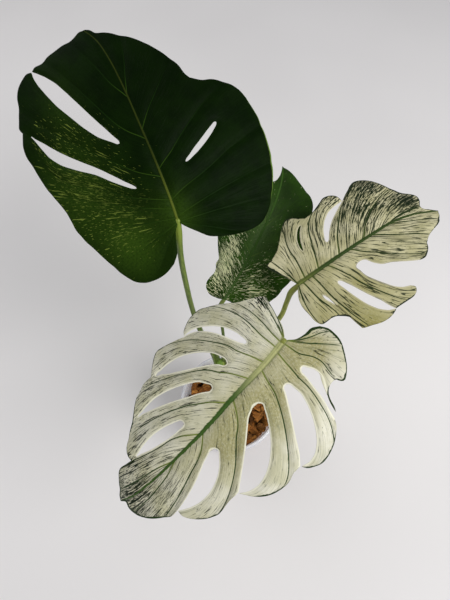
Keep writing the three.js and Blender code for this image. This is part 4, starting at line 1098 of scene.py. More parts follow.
def stalk_finish(name, colours):
    """Skin of a stalk: long soft streaks, small pale dots, and a paler knee under the blade."""
    m = Finish(name, Specular_IOR_Level=0.4, IOR=1.42)
    height = m.read("rise")[0]
    streak = m.noise(m.place((5, 5, 0.35)), 1.0, detail=3.0)
    colour = m.mix(m.step(streak, 0.38, 0.64), colours.skin, colours.streak)
    lines = m.noise(m.place((16, 16, 0.5)), 1.0, detail=2.0)
    colour = m.mix(m.times(m.step(lines, 0.55, 0.72), 0.4), colour, colours.knee)
    colour = m.mix(m.step(height, 0.86, 0.99), colour, colours.knee)
    colour = m.mix(m.step(height, 0.16, 0.0), colour, colours.foot)
    dots = m.noise(m.place((14, 14, 7)), 1.0, detail=1.0)
    colour = m.mix(m.times(m.step(dots, 0.66, 0.74), 0.5), colour, colours.knee)
    rough = m.sum("MULTIPLY_ADD", streak, 0.25, 0.26)
    bump = m.sum("ADD", m.times(lines, 0.7), m.times(dots, 0.4))
    return m.paint(colour, rough, bump, depth=0.0003, strength=0.6)


def stem_finish(colours):
    """Skin of the stem: green with a yellow-green sheath side, corky rings at the nodes and a brown foot."""
    m = Finish("stem_skin", Specular_IOR_Level=0.35, IOR=1.42)
    height, ring, side = m.read("rise")
    streak = m.noise(m.place((5, 5, 0.5)), 1.0, detail=3.0)
    colour = m.mix(m.step(streak, 0.36, 0.64), colours.skin, colours.streak)
    colour = m.mix(m.times(side, 0.75), colour, colours.sheath)
    cork = m.noise(m.place((9, 9, 14)), 1.0, detail=3.0, roughness=0.65)
    scar = m.times(ring, m.step(cork, 0.34, 0.56))
    colour = m.mix(scar, colour, colours.cork)
    low = m.sum("MULTIPLY_ADD", cork, -0.16, height)
    colour = m.mix(m.step(low, 0.34, 0.22), colour, colours.cork)
    rough = m.sum("MULTIPLY_ADD", ring, 0.3, 0.42)
    return m.paint(colour, rough, m.sum("MULTIPLY_ADD", streak, 0.5, cork), depth=0.0005, strength=0.7)


def root_finish(colours):
    """Skin of a root: tan with darker bands and a fine felt."""
    m = Finish("root_skin", Specular_IOR_Level=0.25)
    bands = m.noise(m.place((2.5, 2.5, 3)), 1.0, detail=4.0, roughness=0.6)
    felt = m.noise(m.place((30, 30, 30)), 1.0, detail=3.0)
    colour = m.mix(m.step(bands, 0.36, 0.62), colours.root, colours.root_dark)
    return m.paint(colour, m.sum("MULTIPLY_ADD", felt, 0.2, 0.65), felt, depth=0.0004, strength=0.7)


def chip_finish(colours):
    """Coconut husk: each chip has its own brown, fibres run along it, and its pith is granular and paler."""
    m = Finish("husk", Specular_IOR_Level=0.2)
    x, y, z = m.read("fibre")
    own, shade, _ = m.read("chip")
    fibre = m.noise(m.join(m.times(x, 0.5), m.times(y, 5.0), m.times(z, 5.0)),
                    1.0, detail=4.0, roughness=0.65)
    pith = m.noise(m.join(x, y, z), 3.6, detail=3.0, roughness=0.7)
    colour = m.mix(own, colours.chip, colours.chip_light)
    # Some chips darken at random towards the dark husk colour; on the core, whose number here is 1, it is
    # painted shade.
    colour = m.mix(m.times(m.step(shade, 0.55, 0.95), 0.85), colour, colours.chip_dark)
    colour = m.mix(m.times(m.step(fibre, 0.45, 0.62), 0.55), colour, colours.chip_dark)
    colour = m.mix(m.times(m.step(pith, 0.56, 0.72), 0.6), colour, colours.chip_light)
    height = m.sum("ADD", fibre, m.times(pith, 0.8))
    return m.paint(colour, m.sum("MULTIPLY_ADD", pith, 0.15, 0.78), height, depth=0.0009, strength=0.9)


def plastic_finish(colours):
    """Clear plastic: nearly clear face on and milky edge on, with faint swirls and scuffs."""
    m = Finish("clear_plastic", Specular_IOR_Level=0.6, IOR=1.49, Coat_Weight=0.3, Coat_Roughness=0.08)
    facing = m.node("ShaderNodeLayerWeight", 0.32).outputs["Facing"]
    haze = m.noise(m.place((0.7, 0.7, 0.35)), 1.0, detail=3.0)
    scuff = m.noise(m.place((9, 9, 1.2)), 1.0, detail=4.0, roughness=0.65)
    lip = m.read("lip")[0]
    colour = m.mix(m.step(haze, 0.35, 0.65), colours.plastic, colours.plastic_edge)
    alpha = m.sum("MULTIPLY_ADD", m.sum("POWER", facing, 1.6), 0.62, colours.milkiness)
    alpha = m.sum("MULTIPLY_ADD", m.step(scuff, 0.58, 0.75), 0.10, alpha)
    alpha = m.node("ShaderNodeMath", lip, 0.45, alpha, operation="MULTIPLY_ADD", use_clamp=True)
    m.fill(m.surface.inputs["Alpha"], alpha.outputs[0])
    rough = m.sum("MULTIPLY_ADD", m.step(scuff, 0.5, 0.75), 0.2, 0.13)
    return m.paint(colour, rough, haze, depth=0.0006, strength=0.5)


def floor_finish(colours):
    """Plain pale floor with a hardly visible unevenness."""
    m = Finish("floor", Specular_IOR_Level=0.2)
    slow = m.noise(m.place((0.02, 0.02, 0.02)), 1.0, detail=2.0)
    fine = m.noise(m.place((6, 6, 6)), 1.0, detail=2.0)
    colour = m.mix(m.step(slow, 0.3, 0.7), colours.floor, colours.floor_shade)
    return m.paint(colour, m.sum("MULTIPLY_ADD", fine, 0.1, 0.7), fine, depth=0.0001, strength=0.2)


# Pot, chips, roots, stem and stalks


def wall_radius(pot, z):
    """Outside radius of the pot's wall at a height, in millimetres."""
    return blend(pot.base_radius, pot.mouth_radius, np.asarray(z) * MM / pot.height) / MM


def pot_section(pot):
    """The pot's section as a closed line of radius and height: up outside, over the rim, down inside."""
    height, wall, floor = pot.height / MM, pot.wall / MM, pot.floor / MM
    rim, under = pot.rim_radius / MM, (pot.height - pot.rim_drop) / MM
    rise = np.linspace(1.2, STACKING_STEP - 1.2, 26)
    above = np.linspace(STACKING_STEP + 1.2, under - 0.4, 5)
    down = np.linspace(height - 3.5, STACKING_STEP + 1.2, 6)
    fall = rise[rise > floor + 1.5][::-1]
    base, corner = wall_radius(pot, 0), wall_radius(pot, floor) - wall
    return np.array([
        [DRAIN_OUTER, 0], [base - 1.6, 0], [base - 0.45, 0.4],
        *zip(wall_radius(pot, rise) - 0.35, rise), *zip(wall_radius(pot, above), above),
        [wall_radius(pot, under) + 0.5, under], [rim - 0.9, under + 0.1], [rim - 0.25, under + 0.5],
        [rim, under + 1.3], [rim - 0.05, height - 2.2], [rim - 0.35, height - 1.0],
        [rim - 1.0, height - 0.25], [rim - 1.9, height], [rim - 2.8, height - 0.15],
        [rim - 3.5, height - 0.8], [rim - 3.8, height - 1.8],
        *zip(wall_radius(pot, down) - wall, down), *zip(wall_radius(pot, fall) - wall - 0.35, fall),
        [corner - 0.9, floor + 0.5], [corner - 2.2, floor], [DRAIN_OUTER, floor]], float)


def drain_sector(floor):
    """One sector of the floor with its hole, on both faces, as rings of points round the hole.

    The outline of the sector is drawn in, evenly, onto the circle of the hole.
    """
    span = POT_SIDES // DRAIN_HOLES
    arc = np.arange(span + 1) * 2 * math.pi / POT_SIDES - math.pi / DRAIN_HOLES
    out = np.linspace(DRAIN_INNER, DRAIN_OUTER, 9)
    loop = np.concatenate([
        np.stack([np.full(span, DRAIN_OUTER), arc[:-1]], axis=1),
        np.stack([out[:0:-1], np.full(8, arc[-1])], axis=1),
        np.stack([np.full(span, DRAIN_INNER), arc[:0:-1]], axis=1),
        np.stack([out[:-1], np.full(8, arc[0])], axis=1)])
    edge = np.stack([loop[:, 0] * np.cos(loop[:, 1]), loop[:, 0] * np.sin(loop[:, 1])], axis=1)
    toward = np.arctan2(edge[:, 1], edge[:, 0] - DRAIN_RING)
    hole = np.stack([DRAIN_RING + DRAIN_RADIUS * np.cos(toward), DRAIN_RADIUS * np.sin(toward)], axis=1)
    steps = ((0, 0), (0.4, 0), (0.8, 0), (1, 0.25), (1, floor - 0.25), (0.8, floor), (0.4, floor), (0, floor))
    return [(blend(edge, hole, share), np.full(len(edge), z)) for share, z in steps]


def clear_pot(pot):
    """Thin clear wall turned about the axis, with a rolled rim, a stacking step and a floor with holes."""
    floor = pot.floor / MM
    line = pot_section(pot)
    turn = np.linspace(0, 2 * math.pi, POT_SIDES, endpoint=False)
    points = [np.stack([line[:, :1] * np.cos(turn), line[:, :1] * np.sin(turn),
                        np.repeat(line[:, 1:], POT_SIDES, axis=1)], axis=-1).reshape(-1, 3)]
    quads = [ring_quads(len(line), POT_SIDES)]
    count = len(points[0])
    sector = drain_sector(floor)
    sides = len(sector[0][0])
    for angle in 2 * math.pi * np.arange(DRAIN_HOLES) / DRAIN_HOLES:
        spin = np.array([[math.cos(angle), math.sin(angle)], [-math.sin(angle), math.cos(angle)]])
        points.append(np.concatenate([np.column_stack([ring @ spin, z]) for ring, z in sector]))
        quads.append(ring_quads(len(sector), sides)[:, ::-1] + count)
        count += len(sector) * sides
    for z, order in ((0, -1), (floor, 1)):
        radii = np.array([DRAIN_INNER, DRAIN_INNER / 2, 0])[:, None]
        points.append(np.stack([radii * np.cos(turn), radii * np.sin(turn), np.full((3, POT_SIDES), z)],
                               axis=-1).reshape(-1, 3))
        quads.append(ring_quads(3, POT_SIDES)[:, ::order] + count)
        count += 3 * POT_SIDES
    points = np.concatenate(points)
    kept, faces, _ = weld(points, np.concatenate(quads))
    points = points[kept]
    piece = make_piece("clear_pot", points, faces, plastic_finish(pot))
    piece.data.set_sharp_from_angle(angle=math.radians(50))
    under = (pot.height - pot.rim_drop) / MM
    lip = soft_step(under - 0.5, under + 1, points[:, 2])
    put_vectors(piece, "lip", np.stack([lip, lip, lip], axis=1))
    settle(piece, ["pot"])


def lumps(random, size, centre, facing, tilt):
    """Boxy rounded chips: a superellipsoid |cos|^0.45 on a grid of 7 by 10, dented at random, then turned.

    facing is the direction that a chip's thin side looks in, and tilt how far it strays from that.
    """
    count = len(size)
    latitude = np.linspace(-math.pi / 2, math.pi / 2, 7)[:, None]
    longitude = np.linspace(0, 2 * math.pi, 10, endpoint=False)[None]

    def power(x):
        return np.sign(x) * np.abs(x) ** 0.45

    ball = np.stack([power(np.cos(latitude)) * power(np.cos(longitude)),
                     power(np.cos(latitude)) * power(np.sin(longitude)),
                     power(np.sin(latitude)) * np.ones_like(longitude)], axis=-1).reshape(-1, 3)
    ball[np.abs(ball) < 1e-6] = 0
    kept, faces, _ = weld(ball, ring_quads(7, 10))
    ball = ball[kept]
    dents = 1 + 0.17 * random.standard_normal((count, len(ball), 1))
    skew = 1 + 0.35 * ball[None][..., [1, 2, 0]] * random.uniform(-1, 1, (count, 1, 3))
    local = ball[None] * dents * skew * size[:, None] / 2
    thin = unit(facing + tilt * random.standard_normal((count, 3)))
    long = unit(np.cross(thin, random.standard_normal((count, 3))))
    axes = np.stack([long, np.cross(thin, long), thin], axis=1)
    points = centre[:, None] + np.einsum("nvk,nkx->nvx", local, axes)
    number = np.arange(count)[:, None, None] * len(ball)
    return points, local, (faces[None] + number).reshape(-1, 3)


def stem_centre(z):
    """Centre and radius of the stem at a height."""
    t = np.linspace(0, 1, 200)
    line = curve_at(STEM_PATH, t)
    radius = curve_at(np.array(STEM_RADII, float)[:, None], t)[:, 0]
    return between(z, line[:, 2], line[:, :2]), np.interp(z, line[:, 2], radius)


def upright_chips(random, bed, inside):
    """Chips pressed flat against the wall, on a spiral with a golden-angle turn, each shifted at random."""
    n = bed.wall_chips
    height = blend(5.0, BED_TOP - 2.0, (np.arange(n) + 0.5) / n)
    turn = np.arange(n) * GOLDEN_ANGLE + random.uniform(-0.12, 0.12, n)
    size = np.stack([random.uniform(7, 16, n), random.uniform(5, 10, n), random.uniform(3.5, 6.5, n)], axis=1)
    outward = np.stack([np.cos(turn), np.sin(turn), np.full(n, -0.1)], axis=1)
    radius = inside(height) - size[:, 2] / 2 - random.uniform(0, 2.6, n)
    centre = np.stack([radius * np.cos(turn), radius * np.sin(turn), height], axis=1)
    return lumps(random, size, centre, outward, 0.25)


def loose_chips(random, bed):
    """Chips on top, on a sunflower pattern, each shifted at random and kept off the stem."""
    n = bed.top_chips
    turn = np.arange(n) * GOLDEN_ANGLE + random.uniform(-0.3, 0.3, n)
    radius = BED_RADIUS * np.sqrt((np.arange(n) + 0.5) / n)
    size = np.stack([random.uniform(7, 15, n), random.uniform(5, 9.5, n), random.uniform(3, 6, n)], axis=1)
    height = BED_TOP - 2.5 + random.uniform(-3.2, 4.2, n)
    centre = np.stack([radius * np.cos(turn), radius * np.sin(turn), height], axis=1)
    middle, thickness = stem_centre(height)
    gap = np.linalg.norm(centre[:, :2] - middle, axis=1) - thickness
    centre[:, :2] += unit(centre[:, :2] - middle) * np.clip(STEM_CLEARANCE - gap, 0, None)[:, None]
    return lumps(random, size, centre, np.array([0, 0, 1.0]), 0.55)


def bed_core(random, inside):
    """Dark lumpy core: rings from the axis out, up the wall, in over the top and back to the axis."""
    sides = 96
    wall = [[inside(z) - CORE_DEPTH, z] for z in np.linspace(5, CORE_TOP - 0.5, 18)]
    line = np.array([[0.01, 3.0], [38, 3.0], *wall, *([r, CORE_TOP] for r in (46, 38, 30, 22, 14, 0.01))])
    turn = np.linspace(0, 2 * math.pi, sides, endpoint=False)
    rough = random.uniform(-1.3, 1.3, (len(line), sides))
    off_axis = line[:, :1] > 1
    size = np.maximum(line[:, :1] + rough * off_axis, 0)
    rise = line[:, 1:] + random.uniform(-1.0, 1.0, (len(line), sides)) * off_axis
    size[[0, -1]] = 0
    points = np.stack([size * np.cos(turn), size * np.sin(turn), rise], axis=-1).reshape(-1, 3)
    kept, faces, _ = weld(points, ring_quads(len(line), sides))
    return points[kept], faces


def husk_bed(bed, pot):
    """Coconut husk: a lumpy core in painted shade, chips pressed flat against the wall and loose chips on
    top.

    No point comes nearer to the wall than the clearance, or leaves the room between the floor and the bed's
    highest chip. Each chip has two random numbers for its colour and a random place in the fibre pattern.
    """
    random = np.random.default_rng(bed.seed)

    def inside(z):
        return wall_radius(pot, z) - pot.wall / MM - WALL_CLEARANCE

    upright, upright_local, upright_faces = upright_chips(random, bed, inside)
    loose, loose_local, loose_faces = loose_chips(random, bed)
    points = np.concatenate([upright, loose])
    chips, corners = points.shape[:2]
    points = points.reshape(-1, 3)
    local = np.concatenate([upright_local, loose_local]).reshape(-1, 3)
    nature = np.repeat(random.uniform(0, 1, (chips, 3)), corners, axis=0)
    place = np.repeat(random.uniform(0, 50, (chips, 1)), corners, axis=0)
    core, core_faces = bed_core(random, inside)
    faces = np.concatenate([upright_faces, loose_faces + upright[..., 0].size, core_faces + len(points)])
    # The core gets the dark husk colour almost in full: painted shade in the gaps between the chips.
    nature = np.concatenate([nature, np.tile([0.2, 1.0, 0.5], (len(core), 1))])
    local = np.concatenate([local / 10 + place, core / 10])
    points = np.concatenate([points, core])
    limit = inside(points[:, 2])
    across = np.hypot(points[:, 0], points[:, 1])
    points[:, :2] *= (np.minimum(across, limit) / np.maximum(across, 1e-6))[:, None]
    points[:, 2] = np.clip(points[:, 2], BED_BOTTOM, BED_LIMIT)
    piece = make_piece("husk_bed", points, faces, chip_finish(bed))
    piece.data.set_sharp_from_angle(angle=math.radians(48))
    put_vectors(piece, "fibre", local)
    put_vectors(piece, "chip", nature)
    settle(piece, ["husk_chips"])


def root_system(colours):
    """Six roots from a round crown: tubes that spread, turn down beside the wall and end in a fine tip."""
    parts = []
    for i in range(ROOT_COUNT):
        angle = 2 * math.pi * (i + 0.3) / ROOT_COUNT
        start = CROWN_HEIGHT + 3 * (i % 2)
        reach = np.array([0.0, 14, 28, ROOT_SPREAD, ROOT_SPREAD - 2])
        turn = angle + np.array([0, 0.1, 0.25, 0.5, 0.9])
        path = np.stack([reach * np.cos(turn), reach * np.sin(turn),
                         [start, start - 2, start - 9, start - 18, ROOT_END + 1]], axis=1)
        radii = np.array([1.15, 1, 0.9, 0.8, 0.45]) * ROOT_RADIUS

        def lumpy(a, t, shift=i):
            return 1 + 0.07 * np.sin(31 * t + shift) + 0.04 * np.sin(3 * a + 55 * t)

        parts.append(tube(path, radii, 14, 60, [-math.sin(angle), math.cos(angle), 0.2], lumpy))
    knob = [[0, 0, CROWN_HEIGHT - 6], [0, 0, CROWN_HEIGHT], [0, 0, CROWN_HEIGHT + 7]]
    parts.append(tube(knob, [CROWN_RADIUS - 3, CROWN_RADIUS, CROWN_RADIUS - 2], 28, 14, [1, 0, 0]))
    points = np.concatenate([p for p, _ in parts])
    starts = np.cumsum([0] + [len(p) for p, _ in parts[:-1]])
    faces = np.concatenate([f + s for (_, f), s in zip(parts, starts)])
    piece = make_piece("root_system", points, faces, root_finish(colours))
    settle(piece, ["roots"])


def main_stem(colours):
    """Stem with raised rings where leaves have stood and a flatter sheath side towards the right.

    Radius = smooth radius * (1 + 0.09 sum of exp(-((z - node) / 1.3)^2) + 0.03 cos(2 angle)).
    """
    low, high = STEM_PATH[0][2], STEM_PATH[-1][2]
    nodes = np.array(STEM_NODES, float)

    def shape(angle, t):
        z = low + (high - low) * t
        rings = np.exp(-((z[..., None] - nodes) / 1.3) ** 2).sum(axis=-1)
        return 1 + 0.09 * rings + 0.03 * np.cos(2 * angle)

    points, faces = tube(STEM_PATH[:-1] + [STEM_TIP], STEM_RADII, 40, 240, [1, 0, 0], shape)
    piece = make_piece("main_stem", points, faces, stem_finish(colours))
    z = points[:, 2]
    middle, radius = stem_centre(z)
    ring = np.exp(-((z[:, None] - nodes - 0.8) / 1.5) ** 2).max(axis=1)
    side = soft_step(0.2, 0.8, (points[:, 0] - middle[:, 0]) / radius)
    put_vectors(piece, "rise", np.stack([(z - low) / (high - low), ring, side], axis=1))
    settle(piece, ["stem"])


def leaf_stalk(leaf, material):
    """Stalk from the stem to the leaf: winged and grooved below, round above, with a knee under the blade.

    Section = 1 + w (0.30 exp(-((a - 0.6) / 0.3)^2) + 0.30 exp(-((a + 0.6) / 0.3)^2)
    - 0.35 exp(-(a / 0.3)^2)) - 0.10 (1 - w) exp(-(a / 0.35)^2) + 0.13 exp(-((t - 0.955) / 0.03)^2), where a
    is the angle from the side that looks at the stem, and w is 1 up to t = 0.25 and 0 from t = 0.55.
    """
    along, up, across = leaf_axes(leaf)
    foot = np.array(leaf["stalk"][0], float)
    centre, _ = stem_centre(foot[2] - 7)
    root = np.array([*(centre * 0.55 + foot[:2] * 0.45), foot[2] - 8])
    joint = np.array(leaf["joint"], float)
    path = [root, *leaf["stalk"], joint - 1.6 * up + 0.8 * along]
    radii = [leaf["stalk_radii"][0] * 0.9, *leaf["stalk_radii"], leaf["stalk_radii"][-1] * 0.92]

    def shape(angle, t):
        a = (angle + math.pi) % (2 * math.pi) - math.pi
        wing = np.exp(-((a - 0.6) / 0.3) ** 2) + np.exp(-((a + 0.6) / 0.3) ** 2)
        section = 0.30 * wing - 0.35 * np.exp(-(a / 0.3) ** 2)
        below = 1 - soft_step(0.25, 0.55, t)
        groove = -0.10 * np.exp(-(a / 0.35) ** 2) * (1 - below)
        return 1 + below * section + groove + 0.13 * np.exp(-((t - 0.955) / 0.03) ** 2)

    inward = np.array([centre[0] - foot[0], centre[1] - foot[1], 0.0]) * 0.4 - across * 0.2 + along * 2
    points, faces = tube(path, radii, 36, 170, inward, shape)
    piece = make_piece(leaf["name"] + "_stalk_skin", points, faces, material)
    dense = curve_at(path, np.linspace(0, 1, 400))
    arc = travelled(dense)
    nearest = np.empty(len(points), int)
    for i in range(0, len(points), 1500):
        nearest[i:i + 1500] = ((points[i:i + 1500, None] - dense[None]) ** 2).sum(axis=2).argmin(axis=1)
    height = arc[nearest] / arc[-1]
    put_vectors(piece, "rise", np.stack([height, height, height], axis=1))
    settle(piece, [leaf["name"] + "_stalk"])


def leaf_blade(leaf, shape, colours):
    """A blade in place, standing for its CAD node."""
    piece = blade(leaf, shape, leaf_finish(leaf, colours))
    settle(piece, [leaf["name"] + "_blade"])


# Camera, light and floor


def set_up_stage(stage):
    """Floor, two soft lamps, an even pale surrounding and the camera of the photograph."""
    size = 4000.0
    grid = np.linspace(-size / 2, size / 2, 9)
    x, y = np.meshgrid(grid, grid, indexing="ij")
    points = np.stack([x, y, np.full_like(x, -0.2)], axis=-1).reshape(-1, 3)
    i, j = np.meshgrid(np.arange(8), np.arange(8), indexing="ij")
    a = (i * 9 + j).ravel()
    floor = make_piece("floor", points, np.stack([a, a + 9, a + 10, a + 1], axis=1), floor_finish(stage))
    aim = Vector((0.005, 0.03, 0.25))
    for name, place, extent, power in (("key_lamp", stage.key_place, stage.key_size, stage.key_power),
                                       ("fill_lamp", stage.fill_place, stage.fill_size, stage.fill_power)):
        lamp = bpy.data.lights.new(name, "AREA")
        lamp.shape = "DISK"
        lamp.size = extent
        lamp.energy = power
        lamp.color = stage.lamp_colour
        source = bpy.data.objects.new(name, lamp)
        source.location = place
        source.rotation_euler = (aim - Vector(place)).to_track_quat("-Z", "Y").to_euler()
        bpy.context.scene.collection.objects.link(source)
    world = bpy.data.worlds.new("surrounding")
    world.use_nodes = True
    world.node_tree.nodes["Background"].inputs[0].default_value = (*stage.surrounding, 1)
    world.node_tree.nodes["Background"].inputs[1].default_value = stage.surrounding_power
    bpy.context.scene.world = world
    lens = bpy.data.cameras.new("camera")
    lens.lens = stage.focal_length
    lens.sensor_width = 36
    lens.clip_start = 0.01
    lens.clip_end = 20
    camera = bpy.data.objects.new("camera", lens)
    camera.location = stage.camera_place
    camera.rotation_euler = (math.pi / 2 - stage.camera_pitch, 0, 0)
    bpy.context.scene.collection.objects.link(camera)
    bpy.context.scene.camera = camera
    bpy.context.scene.view_settings.view_transform = "Standard"


# Settings that a user would change


def tone(name, description, *shown):
    """A colour setting whose default is a screen colour given from 0 to 255."""
    return bpy.props.FloatVectorProperty(name=name, description=description, subtype="COLOR", size=3,
                                         min=0, max=1, default=screen(*shown))


def metres(name, description, default, **options):
    """A length setting."""
    return bpy.props.FloatProperty(name=name, description=description, unit="LENGTH", default=default,
                                   precision=options.pop("precision", 4), **options)


def standpoint(name, description, default, **options):
    """The setting of a lamp's or the camera's place."""
    return bpy.props.FloatVectorProperty(name=name, description=description, subtype="TRANSLATION",
                                         unit="LENGTH", size=3, default=default, **options)


class PotSettings(bpy.types.PropertyGroup):
    """Size and finish of the pot."""

    height: metres("Height", "Height of the pot with its rim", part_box("pot")[1].z)
    base_radius: metres("Base radius", "Outside radius at the floor", 0.043)
    mouth_radius: metres(
        "Mouth radius", "Outside radius of the wall, carried on up to the rim's top", 0.0572)
    rim_radius: metres("Rim radius", "Outside radius of the rolled rim", 0.06)
    rim_drop: metres("Rim height", "Height of the rolled rim", 0.007)
    wall: metres("Wall", "Thickness of the wall", 0.0009)
    floor: metres("Floor", "Thickness of the floor", 0.0016)
    milkiness: bpy.props.FloatProperty(
        name="Milkiness", description="How much of the light the wall stops where it faces the viewer",
        subtype="FACTOR", min=0, max=1, default=0.12)
    plastic: tone("Plastic", "Colour of the plastic", 232, 234, 240)
    plastic_edge: tone("Thick plastic", "Colour where the plastic is thick or swirled", 214, 214, 226)


class BedSettings(bpy.types.PropertyGroup):
    """Number and colours of the coconut husk chips."""

    wall_chips: bpy.props.IntProperty(
        name="Chips at the wall", description="Chips that show through the wall", min=50, default=470)
    top_chips: bpy.props.IntProperty(
        name="Chips on top", description="Loose chips on the bed", min=20, default=230)
    seed: bpy.props.IntProperty(
        name="Seed", description="Start of the random shapes and places of the chips", default=11)
    chip: tone("Chip", "Common brown of a chip", 142, 86, 36)
    chip_light: tone("Pith", "Paler granular pith", 192, 132, 64)
    # The dark husk colour also paints the shade in the gaps between the chips, on the core.
    chip_dark: tone("Dark husk", "Skin side and gaps", 42, 23, 9)


class StemSettings(bpy.types.PropertyGroup):
    """Colours of the stem and the roots."""

    skin: tone("Skin", "Green of the stem", 142, 174, 78)
    streak: tone("Streak", "Darker streaks along it", 114, 150, 58)
    sheath: tone("Sheath", "Yellow-green sheath side", 176, 188, 96)
    cork: tone("Cork", "Leaf scars and the foot", 140, 116, 74)
    root: tone("Root", "Root skin", 190, 168, 122)
    root_dark: tone("Dark root", "Darker bands of the roots", 136, 108, 70)


class GreenStalkColours(bpy.types.PropertyGroup):
    """Colours of the dark and marbled leaves' stalks."""

    skin: tone("Skin", "Green of the stalk", 108, 126, 56)
    streak: tone("Streak", "Darker streaks along it", 80, 102, 38)
    knee: tone("Knee", "Paler knee under the blade", 122, 140, 52)
    foot: tone("Foot", "Colour where it leaves the stem", 130, 164, 70)


class OliveStalkColours(bpy.types.PropertyGroup):
    """Colours of the right and front leaves' stalks."""

    skin: tone("Skin", "Olive of the stalk", 152, 158, 76)
    streak: tone("Streak", "Greener streaks along it", 116, 126, 52)
    knee: tone("Knee", "Paler knee under the blade", 132, 138, 64)
    foot: tone("Foot", "Colour where it leaves the stem", 140, 152, 84)


class BladeShape(bpy.types.PropertyGroup):
    """Thickness and relief of the leaf blades."""

    thickness: metres("Thickness", "Thickness between the veins", 0.0006, precision=5)
    rib_depth: metres("Midrib depth", "How far the midrib stands below the blade at the stalk", 0.0021)
    bulge: metres("Quilting", "How far the blade rises between its veins", 0.001)
    wave: metres("Waves", "Height of the slow waves near the margin", 0.0011)
    cell: metres("Cell", "Width of the mesh's cells at the margin", 0.0017, min=0.0005)


LEAF_TONES = {
    "lamina": ("Blade", "Main colour of the blade"),
    "shade": ("Second tone", "Second tone in slow clouds"),
    # The wash tone also paints shade on the front leaf and a sheen along the marbled leaf's midrib.
    "wash": ("Wash", "Tone where the leaf is washed with another colour"),
    "mark": ("Marks", "Colour of the streaks and flecks"),
    "deep": ("Dense parts", "Colour where the marks run together"),
    "vein_near": ("Inner veins", "Main side veins near the midrib"),
    "vein": ("Outer veins", "Main side veins near the margin, and the fine veins"),
    "rib_near": ("Midrib foot", "Midrib near the stalk"),
    "rib": ("Midrib", "Midrib towards the tip"),
    "rim": ("Painted rim", "Line on the margin where the leaf has one"),
    # The slit rim is a painted highlight along the edges of the slits.
    "rim_pale": ("Slit rim", "Pale rim beside the slits"),
    "under": ("Underside", "Tone of the underside"),
}


def leaf_colours(name, description, **shown):
    """A settings group for the colours of one leaf, from a screen colour for each."""
    tones = {key: tone(*LEAF_TONES[key], *colour) for key, colour in shown.items()}
    return type(name, (bpy.types.PropertyGroup,), {"__doc__": description, "__annotations__": tones})


FrontLeafColours = leaf_colours(
    "FrontLeafColours", "Colours of the front leaf, nearly white.",
    lamina=(243, 241, 224), shade=(216, 214, 184), wash=(168, 163, 116), mark=(16, 32, 6),
    deep=(40, 62, 24), vein_near=(122, 134, 60), vein=(38, 64, 20), rib_near=(176, 178, 122),
    rib=(62, 92, 34), rim=(32, 54, 16), rim_pale=(248, 246, 224), under=(206, 210, 170))
RightLeafColours = leaf_colours(
    "RightLeafColours", "Colours of the right leaf, cream with dark streaks.",
    lamina=(212, 207, 172), shade=(184, 180, 140), wash=(142, 136, 68), mark=(22, 38, 12), deep=(16, 28, 9),
    vein_near=(84, 98, 42), vein=(36, 54, 18), rib_near=(100, 110, 52), rib=(52, 72, 28), rim=(26, 40, 18),
    rim_pale=(222, 216, 188), under=(196, 196, 152))
DarkLeafColours = leaf_colours(
    "DarkLeafColours", "Colours of the dark leaf.",
    lamina=(12, 31, 2), shade=(5, 20, 1), wash=(52, 78, 18), mark=(122, 138, 58), deep=(5, 17, 1),
    vein_near=(44, 68, 16), vein=(20, 42, 8), rib_near=(96, 108, 38), rib=(46, 54, 16), rim=(96, 124, 50),
    rim_pale=(30, 54, 14), under=(92, 122, 62))
MarbledLeafColours = leaf_colours(
    "MarbledLeafColours", "Colours of the marbled leaf.",
    lamina=(48, 84, 14), shade=(28, 52, 9), wash=(84, 110, 62), mark=(226, 228, 182), deep=(20, 38, 8),
    vein_near=(84, 110, 50), vein=(40, 66, 20), rib_near=(70, 98, 46), rib=(58, 90, 34), rim=(36, 62, 22),
    rim_pale=(60, 90, 36), under=(110, 138, 84))


class StageSettings(bpy.types.PropertyGroup):
    """Camera, light and floor."""

    camera_place: standpoint(
        "Camera place", "Where the camera stands", (-0.0061, -0.1489, 0.6431), precision=4)
    camera_pitch: bpy.props.FloatProperty(
        name="Camera pitch", description="How far the camera looks down", subtype="ANGLE",
        default=math.radians(62))
    focal_length: bpy.props.FloatProperty(
        name="Focal length", description="Lens on a 36 mm sensor", unit="CAMERA", default=27)
    key_place: standpoint("Key lamp place", "Where the large soft lamp stands", (1.0, -0.6, 1.4))
    key_size: metres("Key lamp size", "Width of the large soft lamp", 1.2)
    key_power: bpy.props.FloatProperty(
        name="Key lamp power", description="Power of the large soft lamp", unit="POWER", default=21)
    fill_place: standpoint("Fill lamp place", "Where the second lamp stands", (-1.0, 0.8, 1.3))
    fill_size: metres("Fill lamp size", "Width of the second lamp", 1.2)
    fill_power: bpy.props.FloatProperty(
        name="Fill lamp power", description="Power of the second lamp", unit="POWER", default=5)
    lamp_colour: bpy.props.FloatVectorProperty(
        name="Lamp colour", description="Colour of both lamps", subtype="COLOR", size=3, min=0, max=1,
        default=(1.0, 0.985, 0.97))
    surrounding: bpy.props.FloatVectorProperty(
        name="Surrounding", description="Colour of the light from all round", subtype="COLOR", size=3,
        min=0, max=1, default=(0.96, 0.97, 1.0))
    surrounding_power: bpy.props.FloatProperty(
        name="Surrounding power", description="Strength of the light from all round", min=0, default=0.38)
    floor: tone("Floor", "Colour of the floor", 240, 238, 238)
    floor_shade: tone("Floor shade", "Second tone of the floor", 234, 232, 232)


def group(name, description, kind):
    """The settings of one group, inside all the settings of the plant."""
    return bpy.props.PointerProperty(name=name, description=description, type=kind)


